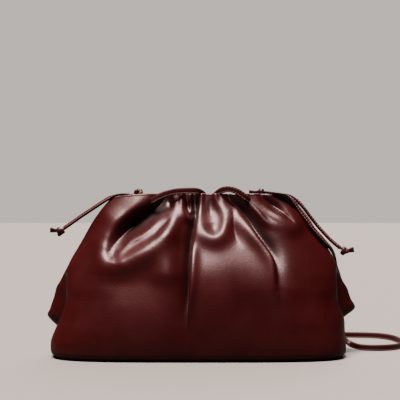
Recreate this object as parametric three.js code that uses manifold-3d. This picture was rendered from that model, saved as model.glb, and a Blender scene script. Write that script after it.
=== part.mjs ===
// A soft leather pouch bag: one hollow gathered shell, a flat drawstring woven through two slots in
// the front lip, and a longer flat shoulder strap that lies beside and behind the pouch.
// Millimetres, +Z up, the front faces -Y, and the origin is on the floor under the middle of the pouch.
import * as THREE from "three";
import Module from "manifold-3d";
import { mergeVertices } from "three/addons/utils/BufferGeometryUtils.js";

// Driving dimensions of the pouch
const EAR_SPAN = 292; // widest place, between the tips of the two corners
const POUCH_HEIGHT = 150; // floor to the lip
const POUCH_DEPTH = 132; // front to back where the pouch is fullest
const MOUTH_SPAN = 170; // outside of the mouth, left to right
const MOUTH_DEPTH = 30; // outside of the mouth, front to back
const LEATHER = 2; // thickness of the leather
const BASE_EDGE = 7; // radius where the walls roll under into the flat base
const EAR_REACH = 13; // how far a corner stands out of the side
const TUCK_DEPTH = 7; // depth of the crease in front of a corner
const FOLD_DEPTH = 9; // height of a full fold
const FOLD_WIDTH = 10; // half width of a full fold
const GATHER_DEPTH = 1.8; // height of the small gathers along the lip
const GATHER_PITCH = 9.5; // distance between the small gathers
const GATHER_DROP = 16; // how far the small gathers run down from the lip
const LIP_DIP = 3; // how far the lip drops at the two ends of the mouth
const LIP_RISE = 1.5; // how far the middle of the lip stands above POUCH_HEIGHT

// Driving dimensions of the drawstring, the strap and their knots
const LACE_WIDTH = 5.6;
const LACE_THICKNESS = 2.4;
const STRAP_WIDTH = 6;
const STRAP_THICKNESS = 2.4;
const LACE_KNOT = 8; // length of a drawstring knot
const STRAP_KNOT = 8.5; // length of a strap knot
const KNOT_TAIL = 6.5; // flared end that stands out of a drawstring knot
const STRAP_TAIL = 5; // short end that stands out of a strap knot
const KNOT_FATNESS = 0.9; // thickness of a knot as a share of its length
const TAIL_WAIST = 0.7; // width of a tail where it leaves its knot, as a share of its cut end
const TAIL_START = 0.25; // share of the knot's length, from its middle, where the tail begins inside it
const SLOT_CLEARANCE = 0.5; // room round the drawstring in its slots
const TOUCH_GAP = 0.3; // gap between pieces that touch

// How finely the shell is divided
const FRONT_COLUMNS = 60;
const BACK_COLUMNS = 38;
const WALL_ROWS = 18;
const EDGE_ROWS = 3; // rows round the base edge
const COLUMN_EVENING = 0.4; // 0 spaces the columns evenly in angle, 1 evenly along X
const ROW_CROWDING = 0.2; // 0 spaces the rows evenly, more crowds them towards the lip
const MOST_STEPS = 78; // steps along the longest strip
const KNOT_FACETS = [10, 6]; // faces round a knot and along it
const MERGE_DISTANCE = 1e-4; // corners closer than this are one corner

// How the folds and the lip blend into the smooth pouch
const TURN = [0.15, 0.5]; // share of the normal that faces a view where its folds begin and are full
const STRENGTH_FADE = 0.3; // share of a fold's line over which its strength changes at an end
const LIP_ROOM = 0.25; // share of the height below the lip where folds get shallower, to half at the lip
const LIP_DIP_START = 0.75; // share of the half mouth from which the lip drops
const LIP_RISE_FULL = 0.6; // share of the half mouth up to which the lip is full height
const LIP_RISE_END = 0.9; // share of the half mouth where the lip is back at POUCH_HEIGHT
const LIP_SUDDENNESS = 20; // power of the height by which the lip's drop and rise die out below it
const GATHER_END = 0.8; // share of the half mouth from which the gathers die out
const GATHER_WANDER = 0.9; // how far the gathers stray from an even pitch, in radians of the wave

// Plan of the pouch at each height. height is a share of POUCH_HEIGHT. left, right, front and back
// are shares of the way from the mouth's half size, 0, to the pouch's full half size, 1.
// corner is the power of the plan's rounded outline: 2 is an ellipse and more is boxier.
const SECTIONS = [
  { height: 0.0, left: 0.92, right: 0.8, front: 0.98, back: 0.94, corner: 4.2 },
  { height: 0.09, left: 0.93, right: 0.8, front: 1.0, back: 0.98, corner: 3.9 },
  { height: 0.16, left: 0.88, right: 0.79, front: 1.0, back: 1.0, corner: 3.6 },
  { height: 0.24, left: 0.81, right: 0.79, front: 0.98, back: 0.99, corner: 3.3 },
  { height: 0.35, left: 0.75, right: 0.73, front: 0.92, back: 0.95, corner: 3.0 },
  { height: 0.44, left: 0.76, right: 0.74, front: 0.85, back: 0.88, corner: 2.8 },
  { height: 0.56, left: 0.69, right: 0.7, front: 0.71, back: 0.74, corner: 2.6 },
  { height: 0.7, left: 0.5, right: 0.5, front: 0.5, back: 0.53, corner: 2.4 },
  { height: 0.85, left: 0.29, right: 0.27, front: 0.25, back: 0.27, corner: 2.3 },
  { height: 0.93, left: 0.14, right: 0.12, front: 0.1, back: 0.1, corner: 2.4 },
  { height: 1.0, left: 0.01, right: 0.0, front: 0.0, back: 0.0, corner: 2.6 },
];

// Folds of the front and back, seen from that side. line holds points as shares of half of EAR_SPAN
// and of POUCH_HEIGHT. depth and width are shares of FOLD_DEPTH and FOLD_WIDTH, and a depth below
// zero is a valley. start and end are the fold's strength at the two ends of its line.
const FRONT_FOLDS = [
  { name: "left loop", depth: 0.8, width: 0.75, start: 1, end: 1, line: [[-0.35, 0.97], [-0.42, 0.91],
    [-0.5, 0.84], [-0.56, 0.77], [-0.6, 0.7], [-0.61, 0.64], [-0.58, 0.59], [-0.53, 0.57], [-0.46, 0.6],
    [-0.36, 0.66], [-0.28, 0.72], [-0.22, 0.79], [-0.17, 0.86], [-0.15, 0.93]] },
  { name: "left loop hollow", depth: -1, width: 0.95, start: 1, end: 0, line: [[-0.25, 0.99],
    [-0.33, 0.9], [-0.42, 0.82], [-0.5, 0.74], [-0.56, 0.66]] },
  { name: "left shoulder", depth: 0.4, width: 1.2, start: 0.4, end: 0.6, line: [[-0.63, 0.93],
    [-0.55, 0.93], [-0.46, 0.91]] },
  { name: "pocket", depth: -0.6, width: 0.6, start: 1, end: 0, line: [[-0.11, 1.0], [-0.09, 0.93],
    [-0.08, 0.87], [-0.07, 0.82]] },
  { name: "centre valley", depth: -0.9, width: 0.7, start: 1, end: 0, line: [[-0.045, 1.0],
    [-0.05, 0.84], [-0.07, 0.69], [-0.1, 0.46], [-0.11, 0.36]] },
  { name: "centre ridge", depth: 0.5, width: 0.7, start: 0, end: 0.3, line: [[-0.02, 0.72],
    [-0.035, 0.62], [-0.05, 0.49], [-0.07, 0.34], [-0.1, 0.21]] },
  { name: "centre loop", depth: 0.6, width: 0.6, start: 1, end: 1, line: [[-0.015, 0.99],
    [-0.015, 0.89], [0.01, 0.8], [0.07, 0.76], [0.14, 0.79], [0.165, 0.85], [0.14, 0.92], [0.1, 0.98]] },
  { name: "centre loop hollow", depth: -0.6, width: 0.6, start: 1, end: 0, line: [[0.03, 1.0],
    [0.05, 0.92], [0.08, 0.83]] },
  { name: "centre panel", depth: 0.5, width: 1.6, start: 0, end: 0, line: [[0.08, 0.74], [0.12, 0.6],
    [0.13, 0.45], [0.12, 0.3]] },
  { name: "long valley", depth: -0.95, width: 0.85, start: 1, end: 0, line: [[0.19, 0.99], [0.22, 0.91],
    [0.29, 0.84], [0.37, 0.76], [0.43, 0.68], [0.46, 0.6], [0.47, 0.5]] },
  { name: "long ridge", depth: 0.7, width: 0.8, start: 0.4, end: 0.4, line: [[0.19, 0.86],
    [0.25, 0.79], [0.32, 0.71], [0.38, 0.64], [0.41, 0.57], [0.41, 0.5], [0.42, 0.42], [0.46, 0.34]] },
  { name: "right ridge", depth: 0.6, width: 0.8, start: 1, end: 0, line: [[0.27, 0.98], [0.33, 0.9],
    [0.4, 0.84], [0.48, 0.78], [0.55, 0.7]] },
  { name: "right loop", depth: 0.55, width: 0.7, start: 1, end: 0, line: [[0.44, 0.99], [0.5, 0.95],
    [0.55, 0.88], [0.6, 0.8], [0.66, 0.7]] },
  { name: "right loop hollow", depth: -0.65, width: 0.7, start: 1, end: 0, line: [[0.36, 1.0],
    [0.42, 0.94], [0.49, 0.88], [0.56, 0.8], [0.62, 0.7]] },
];
const BACK_FOLDS = [
  { name: "back left loop", depth: 0.6, width: 0.7, start: 1, end: 0, line: [[-0.4, 0.98],
    [-0.52, 0.84], [-0.6, 0.68], [-0.62, 0.5]] },
  { name: "back left hollow", depth: -0.8, width: 0.9, start: 1, end: 0, line: [[-0.28, 1.0],
    [-0.36, 0.86], [-0.44, 0.7], [-0.48, 0.5]] },
  { name: "back left ridge", depth: 0.6, width: 0.6, start: 1, end: 0, line: [[-0.17, 0.98],
    [-0.2, 0.82], [-0.27, 0.62], [-0.3, 0.42]] },
  { name: "back middle hollow", depth: -0.75, width: 0.8, start: 1, end: 0, line: [[-0.03, 1.0],
    [-0.05, 0.82], [-0.09, 0.62], [-0.1, 0.4]] },
  { name: "back middle ridge", depth: 0.6, width: 0.6, start: 1, end: 0, line: [[0.08, 0.98],
    [0.09, 0.82], [0.12, 0.6], [0.16, 0.36]] },
  { name: "back right hollow", depth: -0.85, width: 0.9, start: 1, end: 0, line: [[0.2, 1.0],
    [0.26, 0.86], [0.36, 0.7], [0.42, 0.5]] },
  { name: "back right ridge", depth: 0.6, width: 0.7, start: 1, end: 0, line: [[0.36, 0.98],
    [0.46, 0.84], [0.56, 0.68], [0.6, 0.5]] },
];

// The pointed corner at each end and the creases round it, seen from that end. line holds points as
// shares of half of POUCH_DEPTH and of POUCH_HEIGHT, and strength holds how strong the fold is at each of
// them. depth is a share of EAR_REACH where it stands out and of TUCK_DEPTH where it is a valley, and
// width is a share of FOLD_WIDTH.
const LEFT_CORNER = [
  { name: "ear", depth: 0.98, width: 0.85, line: [[0, 0.15], [0, 0.235], [0, 0.28], [0.01, 0.34],
    [0.02, 0.41], [0.03, 0.47], [0.03, 0.56]], strength: [0, 1, 0.97, 0.88, 0.64, 0.3, 0] },
  { name: "tuck", depth: -0.9, width: 0.7, line: [[-0.18, 0.52], [-0.22, 0.42], [-0.24, 0.3],
    [-0.16, 0.2], [0.04, 0.14]], strength: [0, 0.9, 1, 1, 0.5] },
  { name: "back tuck", depth: -0.7, width: 0.8, line: [[0.42, 0.54], [0.46, 0.4], [0.44, 0.28],
    [0.34, 0.18], [0.2, 0.14]], strength: [0, 0.8, 1, 1, 0.5] },
];
const RIGHT_CORNER = [
  { name: "ear", depth: 1.05, width: 0.85, line: [[0, 0.17], [0, 0.23], [0, 0.288], [0.01, 0.34],
    [0.02, 0.405], [0.03, 0.47], [0.03, 0.56]], strength: [0, 0.36, 1, 0.86, 0.6, 0.2, 0] },
  { name: "tuck", depth: -0.9, width: 0.7, line: [[-0.18, 0.56], [-0.22, 0.46], [-0.24, 0.36],
    [-0.16, 0.25], [0.04, 0.19]], strength: [0, 0.9, 1, 1, 0.5] },
  { name: "back tuck", depth: -0.7, width: 0.8, line: [[0.42, 0.58], [0.46, 0.44], [0.44, 0.32],
    [0.34, 0.22], [0.2, 0.18]], strength: [0, 0.8, 1, 1, 0.5] },
];

// Routes along the middle of the drawstring and the strap, chosen by hand: x, y and z of each point, and
// the direction of the leather's width there. Between two points the leather turns evenly.
const LEVEL = [0, 1, 0]; // the width lies level, front to back
const UPRIGHT = [0, 0, 1]; // the leather stands on its edge
const TURNING = [0, 1, 1]; // half way between the two
const SIDEWAYS = [1, 0, 0]; // the width lies along X
const LIFTING = [1, 0, 1]; // half way between standing on its edge and lying along X
const SHOULDER = [0.4, 0.86, 0.3]; // flat on the front of the right shoulder
const FLANK = [0, 0.85, 0.5]; // flat on the right side, on the way back and down
const DRAWSTRING_ROUTE = [
  [-57.0, -9.6, 144.6, UPRIGHT],
  [-52.6, -10.0, 144.6, UPRIGHT],
  [-49.0, -12.8, 144.6, UPRIGHT],
  [-46.4, -17.6, 145.2, UPRIGHT],
  [-41.5, -20.0, 148.6, UPRIGHT],
  [-34.5, -20.0, 151.8, UPRIGHT],
  [-27.7, -19.4, 153.8, UPRIGHT],
  [-19.2, -18.6, 154.8, UPRIGHT],
  [-10.0, -17.8, 155.0, UPRIGHT],
  [-4.4, -15.0, 154.4, UPRIGHT],
  [-0.6, -10.6, 152.4, UPRIGHT],
  [2.6, -8.4, 149.2, UPRIGHT],
  [6.8, -7.8, 147.6, UPRIGHT],
  [11.0, -8.4, 149.4, UPRIGHT],
  [14.2, -10.8, 152.8, UPRIGHT],
  [18.0, -15.8, 155.4, UPRIGHT],
  [24.9, -19.4, 156.8, UPRIGHT],
  [31.2, -20.6, 154.8, UPRIGHT],
  [36.6, -20.8, 151.2, UPRIGHT],
  [41.0, -20.0, 147.2, UPRIGHT],
  [43.6, -16.6, 144.9, UPRIGHT],
  [45.6, -12.0, 144.5, UPRIGHT],
  [48.8, -8.8, 144.5, UPRIGHT],
  [52.5, -7.8, 144.5, UPRIGHT],
];
const LEFT_END_ROUTE = [
  [-57.5, -9.55, 144.6, UPRIGHT],
  [-59.8, -9.3, 144.8, UPRIGHT],
  [-62.8, -8.2, 146.8, TURNING],
  [-66.0, -6.6, 149.4, TURNING],
  [-69.5, -5.6, 151.0, LEVEL],
  [-75.0, -5.0, 151.6, LEVEL],
  [-81.5, -5.0, 150.9, LEVEL],
  [-88.0, -5.2, 148.5, LEVEL],
  [-94.0, -5.6, 144.6, LEVEL],
  [-99.8, -6.0, 140.6, LEVEL],
  [-107.0, -6.4, 135.6, LEVEL],
  [-114.5, -6.8, 130.3, LEVEL],
  [-121.5, -7.2, 125.2, LEVEL],
  [-130.6, -7.7, 118.2, LEVEL],
];
const RIGHT_END_ROUTE = [
  [53.15, -7.7, 144.5, UPRIGHT],
  [55.6, -7.2, 144.8, UPRIGHT],
  [59.0, -6.4, 147.0, TURNING],
  [62.6, -5.2, 149.6, TURNING],
  [67.0, -4.2, 151.2, LEVEL],
  [72.0, -3.7, 151.8, LEVEL],
  [78.5, -3.6, 151.2, LEVEL],
  [85.0, -3.8, 148.9, LEVEL],
  [90.0, -4.2, 145.0, LEVEL],
  [94.6, -4.6, 140.0, LEVEL],
  [98.8, -5.0, 134.6, LEVEL],
  [103.0, -5.4, 128.8, LEVEL],
  [107.6, -5.8, 122.8, LEVEL],
  [112.4, -6.2, 117.0, LEVEL],
  [117.2, -6.6, 111.6, LEVEL],
  [122.2, -7.0, 106.4, LEVEL],
  [130.0, -7.6, 99.6, LEVEL],
];
const STRAP_ROUTE = [
  [58.5, -7.4, 153.7, LEVEL],
  [64.0, -10.8, 153.0, LEVEL],
  [71.0, -12.9, 151.8, LEVEL],
  [78.5, -12.8, 149.6, LEVEL],
  [85.0, -12.2, 144.2, SHOULDER],
  [91.2, -12.2, 135.2, SHOULDER],
  [97.6, -13.9, 126.6, SHOULDER],
  [103.8, -15.1, 118.2, SHOULDER],
  [110.2, -15.0, 111.0, SHOULDER],
  [115.8, -11.2, 105.2, FLANK],
  [120.7, -5.0, 100.2, FLANK],
  [124.0, 3.0, 96.2, FLANK],
  [126.8, 10.8, 91.2, FLANK],
  [128.9, 18.0, 83.2, FLANK],
  [128.8, 24.6, 71.6, FLANK],
  [129.6, 30.6, 56.4, FLANK],
  [130.4, 33.4, 42.0, LEVEL],
  [131.8, 33.6, 28.0, LEVEL],
  [135.6, 31.0, 15.6, LEVEL],
  [142.4, 25.6, 6.6, TURNING],
  [150.0, 18.8, 3.8, UPRIGHT],
  [160.0, 14.6, 3.3, UPRIGHT],
  [171.0, 14.0, 3.2, UPRIGHT],
  [182.5, 18.0, 3.2, UPRIGHT],
  [192.0, 28.0, 3.2, UPRIGHT],
  [198.4, 45.0, 3.2, UPRIGHT],
  [199.8, 66.0, 3.2, UPRIGHT],
  [197.4, 87.0, 3.2, UPRIGHT],
  [191.0, 103.0, 3.2, UPRIGHT],
  [180.0, 113.0, 3.2, UPRIGHT],
  [164.0, 116.8, 3.2, UPRIGHT],
  [140.0, 117.4, 3.2, UPRIGHT],
  [105.0, 115.4, 3.2, UPRIGHT],
  [65.0, 112.0, 3.2, UPRIGHT],
  [25.0, 109.0, 3.2, UPRIGHT],
  [-15.0, 106.4, 3.2, UPRIGHT],
  [-50.0, 100.8, 3.3, UPRIGHT],
  [-74.0, 89.6, 3.8, UPRIGHT],
  [-87.0, 76.0, 8.6, LIFTING],
  [-90.4, 67.6, 19.0, SIDEWAYS],
  [-89.0, 63.9, 33.0, SIDEWAYS],
  [-86.0, 61.4, 49.0, SIDEWAYS],
  [-82.4, 57.2, 66.0, SIDEWAYS],
  [-78.6, 49.6, 84.0, SIDEWAYS],
  [-74.8, 38.8, 102.0, SIDEWAYS],
  [-71.0, 31.4, 119.0, SIDEWAYS],
  [-67.6, 26.0, 135.0, SIDEWAYS],
  [-65.2, 21.4, 144.6, SIDEWAYS],
  [-63.6, 17.6, 151.2, SIDEWAYS],
  [-62.2, 11.4, 154.3, SIDEWAYS],
  [-61.0, 5.6, 153.4, SIDEWAYS],
];

const halfSpan = EAR_SPAN / 2;
const halfDepth = POUCH_DEPTH / 2;
const halfMouthSpan = MOUTH_SPAN / 2;
const halfMouthDepth = MOUTH_DEPTH / 2;

// Value of a column of SECTIONS at a height share, on a smooth curve through the rows.
function sectionValue(column, height) {
  let row = 0;
  while (row < SECTIONS.length - 2 && SECTIONS[row + 1].height < height) row += 1;
  const slope = (index) => {
    const low = SECTIONS[Math.max(index - 1, 0)];
    const high = SECTIONS[Math.min(index + 1, SECTIONS.length - 1)];
    return (high[column] - low[column]) / (high.height - low.height);
  };
  const [from, to] = [SECTIONS[row], SECTIONS[row + 1]];
  const step = to.height - from.height;
  const s = THREE.MathUtils.clamp((height - from.height) / step, 0, 1);
  return (
    (1 + 2 * s) * (1 - s) ** 2 * from[column] +
    s * (1 - s) ** 2 * step * slope(row) +
    s * s * (3 - 2 * s) * to[column] +
    s * s * (s - 1) * step * slope(row + 1)
  );
}

// How far the walls draw in near the floor, on the round of BASE_EDGE.
function edgeInset(z) {
  const below = Math.max(BASE_EDGE - z, 0);
  return BASE_EDGE - Math.sqrt(Math.max(BASE_EDGE ** 2 - below ** 2, 0));
}

// Point of the smooth pouch, before its folds, at an angle round the plan and a height.
// The angle is 0 at the right end and -90 degrees at the middle of the front.
function smoothPoint(angle, z) {
  const height = z / POUCH_HEIGHT;
  const [cos, sin] = [Math.cos(angle), Math.sin(angle)];
  const spanShare = sectionValue(cos < 0 ? "left" : "right", height);
  const depthShare = sectionValue(sin < 0 ? "front" : "back", height);
  const inset = edgeInset(z);
  const spanReach = THREE.MathUtils.lerp(halfMouthSpan, halfSpan, spanShare) - inset;
  const depthReach = THREE.MathUtils.lerp(halfMouthDepth, halfDepth, depthShare) - inset;
  const corner = sectionValue("corner", height);
  const scale = (Math.abs(cos) ** corner + Math.abs(sin) ** corner) ** (-1 / corner);
  return new THREE.Vector3(cos * scale * spanReach, sin * scale * depthReach, z);
}

function smoothNormal(angle, z) {
  const [turn, rise] = [0.01, 0.5];
  const around = smoothPoint(angle + turn, z).sub(smoothPoint(angle - turn, z));
  const low = Math.max(z - rise, BASE_EDGE);
  const up = smoothPoint(angle, low + 2 * rise).sub(smoothPoint(angle, low));
  return around.cross(up).normalize();
}

// A fold's line in millimetres, as a smooth run of short straight steps.
function foldLine(fold, halfWidthOfView) {
  const points = fold.line.map(
    ([across, up]) => new THREE.Vector2(across * halfWidthOfView, up * POUCH_HEIGHT),
  );
  return { ...fold, points: new THREE.SplineCurve(points).getPoints(3 * points.length) };
}

// Strength of a fold at a share of its line: between the values of its points where it has them, or else
// full, changing to start and end over STRENGTH_FADE of the line.
function foldStrength(fold, share) {
  if (fold.strength) {
    const place = share * (fold.strength.length - 1);
    const row = Math.min(Math.floor(place), fold.strength.length - 2);
    return THREE.MathUtils.lerp(fold.strength[row], fold.strength[row + 1], place - row);
  }
  const rise = THREE.MathUtils.lerp(fold.start, 1, THREE.MathUtils.smoothstep(share, 0, STRENGTH_FADE));
  const fall = THREE.MathUtils.lerp(fold.end, 1, THREE.MathUtils.smoothstep(1 - share, 0, STRENGTH_FADE));
  return rise * fall;
}

// Height of a fold at a point of its view: a bell across the line.
function foldHeight(fold, across, up, fullDepth) {
  let nearest = Infinity;
  let share = 0;
  const last = fold.points.length - 1;
  for (let i = 0; i < last; i += 1) {
    const [from, to] = [fold.points[i], fold.points[i + 1]];
    const [dx, dy] = [to.x - from.x, to.y - from.y];
    const along = ((across - from.x) * dx + (up - from.y) * dy) / (dx * dx + dy * dy);
    const s = THREE.MathUtils.clamp(along, 0, 1);
    const distance = Math.hypot(across - from.x - s * dx, up - from.y - s * dy);
    if (distance < nearest) {
      nearest = distance;
      share = (i + s) / last;
    }
  }
  const bell = Math.exp(-((nearest / (fold.width * FOLD_WIDTH)) ** 2));
  return fold.depth * fullDepth * bell * foldStrength(fold, share);
}

const frontFolds = FRONT_FOLDS.map((fold) => foldLine(fold, halfSpan));
const backFolds = BACK_FOLDS.map((fold) => foldLine(fold, halfSpan));
const leftCorner = LEFT_CORNER.map((fold) => foldLine(fold, halfDepth));
const rightCorner = RIGHT_CORNER.map((fold) => foldLine(fold, halfDepth));

// Small gathers along the lip: a wave round the mouth that dies out below it. The waves wander a little,
// so that no two gathers are alike.
function gatherHeight(point) {
  const fade = THREE.MathUtils.smoothstep(point.z, POUCH_HEIGHT - GATHER_DROP, POUCH_HEIGHT);
  const ends = 1 - THREE.MathUtils.smoothstep(Math.abs(point.x), GATHER_END * halfMouthSpan, halfMouthSpan);
  const wander = GATHER_WANDER * Math.sin(point.x / GATHER_PITCH);
  const wave = Math.cos((2 * Math.PI * point.x) / GATHER_PITCH + wander);
  return GATHER_DEPTH * fade * ends * wave;
}

// How far the leather stands below its row near the lip: lower at the mouth's ends, higher in its middle.
function lipDrop(x, z) {
  const share = Math.abs(x) / halfMouthSpan;
  const dip = LIP_DIP * THREE.MathUtils.smoothstep(share, LIP_DIP_START, 1);
  const rise = LIP_RISE * (1 - THREE.MathUtils.smoothstep(share, LIP_RISE_FULL, LIP_RISE_END));
  return (dip - rise) * (z / POUCH_HEIGHT) ** LIP_SUDDENNESS;
}

// Point of the leather's outer face, with folds, gathers and corners.
function leatherPoint(angle, z) {
  const point = smoothPoint(angle, z);
  const normal = smoothNormal(angle, z);
  const folds = normal.y < 0 ? frontFolds : backFolds;
  const corners = normal.x < 0 ? leftCorner : rightCorner;
  let height = gatherHeight(point);
  const facing = THREE.MathUtils.smoothstep(Math.abs(normal.y), ...TURN);
  for (const fold of folds) height += facing * foldHeight(fold, point.x, point.z, FOLD_DEPTH);
  const turned = THREE.MathUtils.smoothstep(Math.abs(normal.x), ...TURN);
  for (const fold of corners) {
    const fullDepth = fold.depth > 0 ? EAR_REACH : TUCK_DEPTH;
    height += turned * foldHeight(fold, point.y, point.z, fullDepth);
  }
  // At the lip the two faces of the mouth are too close for a full fold.
  const reach = LIP_ROOM * POUCH_HEIGHT;
  const room = THREE.MathUtils.smoothstep(POUCH_HEIGHT - z, -reach, reach);
  const grounded = THREE.MathUtils.smoothstep(z, 0, 2 * BASE_EDGE);
  const drop = lipDrop(point.x, z);
  point.addScaledVector(normal.setZ(0).normalize(), height * room * grounded);
  return point.setZ(z - drop);
}

// Angles of the columns, from the right end round the back, the left end and the front.
function columnAngles() {
  const quarter = (count) =>
    Array.from({ length: count }, (_, i) => {
      const share = i / count;
      const even = (share * Math.PI) / 2;
      return THREE.MathUtils.lerp(even, Math.asin(share), COLUMN_EVENING);
    });
  const back = quarter(BACK_COLUMNS / 2);
  const front = quarter(FRONT_COLUMNS / 2);
  const half = Math.PI / 2;
  const mirrored = (angles) => [half, ...angles.slice(1).reverse()];
  return [
    ...mirrored(back).map((a) => half - a),
    ...back.map((a) => half + a),
    ...mirrored(front).map((a) => 3 * half - a),
    ...front.map((a) => 3 * half + a),
  ];
}

// Heights of the rows: round the base edge, then up the wall to the lip.
function rowHeights() {
  const heights = [];
  for (let i = 0; i < EDGE_ROWS; i += 1) {
    heights.push(BASE_EDGE * (1 - Math.cos((i / EDGE_ROWS) * (Math.PI / 2))));
  }
  for (let i = 0; i <= WALL_ROWS; i += 1) {
    const even = i / WALL_ROWS;
    const crowded = 1 - (1 - even) ** 2;
    const share = THREE.MathUtils.lerp(even, crowded, ROW_CROWDING);
    heights.push(THREE.MathUtils.lerp(BASE_EDGE, POUCH_HEIGHT, share));
  }
  return heights;
}

// The hollow shell: the outer face, the same face moved in by the leather's thickness, a strip that
// joins them round the lip, and a flat base inside and outside.
function pouchGeometry() {
  const angles = columnAngles();
  const columns = angles.length;
  const outer = rowHeights().map((z) => angles.map((angle) => leatherPoint(angle, z)));
  const rows = outer.length;
  const inner = outer.map((line, row) =>
    line.map((point, column) => {
      const next = line[(column + 1) % columns];
      const previous = line[(column + columns - 1) % columns];
      const above = outer[Math.min(row + 1, rows - 1)][column];
      const below = outer[Math.max(row - 1, 0)][column];
      const inward = above.clone().sub(below).cross(next.clone().sub(previous)).normalize();
      const moved = point.clone().addScaledVector(inward, LEATHER);
      moved.z = row === rows - 1 ? point.z : Math.max(moved.z, LEATHER);
      return moved;
    }),
  );
  const positions = [];
  const add = (point) => positions.push(point.x, point.y, point.z) / 3 - 1;
  const outerIndex = outer.map((line) => line.map(add));
  const innerIndex = inner.map((line) => line.map(add));
  const faces = [];
  for (let column = 0; column < columns; column += 1) {
    const next = (column + 1) % columns;
    for (let row = 0; row < rows - 1; row += 1) {
      const [a, b] = [outerIndex[row][column], outerIndex[row][next]];
      const [c, d] = [outerIndex[row + 1][next], outerIndex[row + 1][column]];
      const [e, f] = [innerIndex[row][column], innerIndex[row][next]];
      const [g, h] = [innerIndex[row + 1][next], innerIndex[row + 1][column]];
      const rising = outer[row][column].distanceTo(outer[row + 1][next]);
      const falling = outer[row][next].distanceTo(outer[row + 1][column]);
      if (rising < falling) {
        faces.push(a, b, c, a, c, d, e, g, f, e, h, g);
      } else {
        faces.push(a, b, d, b, c, d, e, h, f, f, h, g);
      }
    }
    const [a, b] = [outerIndex[rows - 1][column], outerIndex[rows - 1][next]];
    const [c, d] = [innerIndex[rows - 1][next], innerIndex[rows - 1][column]];
    faces.push(a, b, c, a, c, d);
  }
  for (const [index, z, down] of [[outerIndex[0], 0, true], [innerIndex[0], LEATHER, false]]) {
    const middle = add(new THREE.Vector3(0, 0, z));
    for (let column = 0; column < columns; column += 1) {
      const next = (column + 1) % columns;
      faces.push(...(down ? [middle, index[next], index[column]] : [middle, index[column], index[next]]));
    }
  }
  const geometry = new THREE.BufferGeometry();
  geometry.setAttribute("position", new THREE.Float32BufferAttribute(positions, 3));
  geometry.setIndex(faces);
  return geometry;
}

// A hand-chosen route as a curve that knows which way the leather's width lies at each place.
class FlatRoute extends THREE.CatmullRomCurve3 {
  constructor(rows) {
    super(rows.map(([x, y, z]) => new THREE.Vector3(x, y, z)), false, "centripetal");
    this.widths = rows.map((row) => new THREE.Vector3(...row[3]).normalize());
  }

  computeFrenetFrames(segments) {
    const frames = { tangents: [], normals: [], binormals: [] };
    for (let i = 0; i <= segments; i += 1) {
      const place = this.getUtoTmapping(i / segments) * (this.widths.length - 1);
      const row = Math.min(Math.floor(place), this.widths.length - 2);
      const width = this.widths[row].clone().lerp(this.widths[row + 1], place - row);
      const tangent = this.getTangentAt(i / segments);
      width.addScaledVector(tangent, -width.dot(tangent)).normalize();
      frames.tangents.push(tangent);
      frames.normals.push(width);
      frames.binormals.push(tangent.clone().cross(width));
    }
    return frames;
  }
}

// A flat strip of leather along a route, with its long edges bevelled. room makes it bigger all round.
function stripGeometry(route, width, thickness, room = 0) {
  const curve = new FlatRoute(route);
  const [w, t] = [width / 2 + room, thickness / 2 + room];
  const bevel = thickness / 4;
  const section = new THREE.Shape([
    new THREE.Vector2(w, t - bevel),
    new THREE.Vector2(w - bevel, t),
    new THREE.Vector2(bevel - w, t),
    new THREE.Vector2(-w, t - bevel),
    new THREE.Vector2(-w, bevel - t),
    new THREE.Vector2(bevel - w, -t),
    new THREE.Vector2(w - bevel, -t),
    new THREE.Vector2(w, bevel - t),
  ]);
  const steps = Math.min(Math.ceil(curve.getLength() / (2 * thickness)), MOST_STEPS);
  return new THREE.ExtrudeGeometry(section, { steps, extrudePath: curve, bevelEnabled: false });
}

const wasm = await Module();
wasm.setup();

function toSolid(geometry) {
  const plain = geometry.clone();
  plain.deleteAttribute("normal");
  plain.deleteAttribute("uv");
  const merged = mergeVertices(plain, MERGE_DISTANCE);
  return new wasm.Manifold(
    new wasm.Mesh({
      numProp: 3,
      vertProperties: new Float32Array(merged.getAttribute("position").array),
      triVerts: new Uint32Array(merged.getIndex().array),
    }),
  );
}

function toGeometry(solid) {
  const mesh = solid.getMesh();
  const geometry = new THREE.BufferGeometry();
  geometry.setAttribute("position", new THREE.BufferAttribute(mesh.vertProperties.slice(), 3));
  geometry.setIndex(new THREE.BufferAttribute(mesh.triVerts.slice(), 1));
  geometry.computeVertexNormals();
  return geometry;
}

// A pulled-tight knot with its middle at the origin, and the free tail that stands out of it along +X,
// flaring a little towards its cut end.
function knotGeometry(length, thickness, tail, tailWidth) {
  const lump = new THREE.SphereGeometry(0.5, ...KNOT_FACETS);
  lump.scale(length, KNOT_FATNESS * length, KNOT_FATNESS * length);
  const [root, cut] = [TAIL_START * length, length / 2 + tail];
  const [waist, end] = [(TAIL_WAIST * tailWidth) / 2, tailWidth / 2];
  const outline = new THREE.Shape([
    new THREE.Vector2(root, -waist),
    new THREE.Vector2(cut, -end),
    new THREE.Vector2(cut, end),
    new THREE.Vector2(root, waist),
  ]);
  const flare = new THREE.ExtrudeGeometry(outline, { depth: thickness, bevelEnabled: false });
  flare.translate(0, 0, -thickness / 2);
  return toGeometry(toSolid(lump).add(toSolid(flare)));
}

const pouchLeather = new THREE.MeshStandardMaterial({ color: 0x5a1c1e, roughness: 0.38, metalness: 0 });
const laceLeather = new THREE.MeshStandardMaterial({ color: 0x4a1517, roughness: 0.45, metalness: 0 });

function part(name, geometry, material) {
  const mesh = new THREE.Mesh(geometry, material);
  mesh.name = name;
  return mesh;
}

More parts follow.
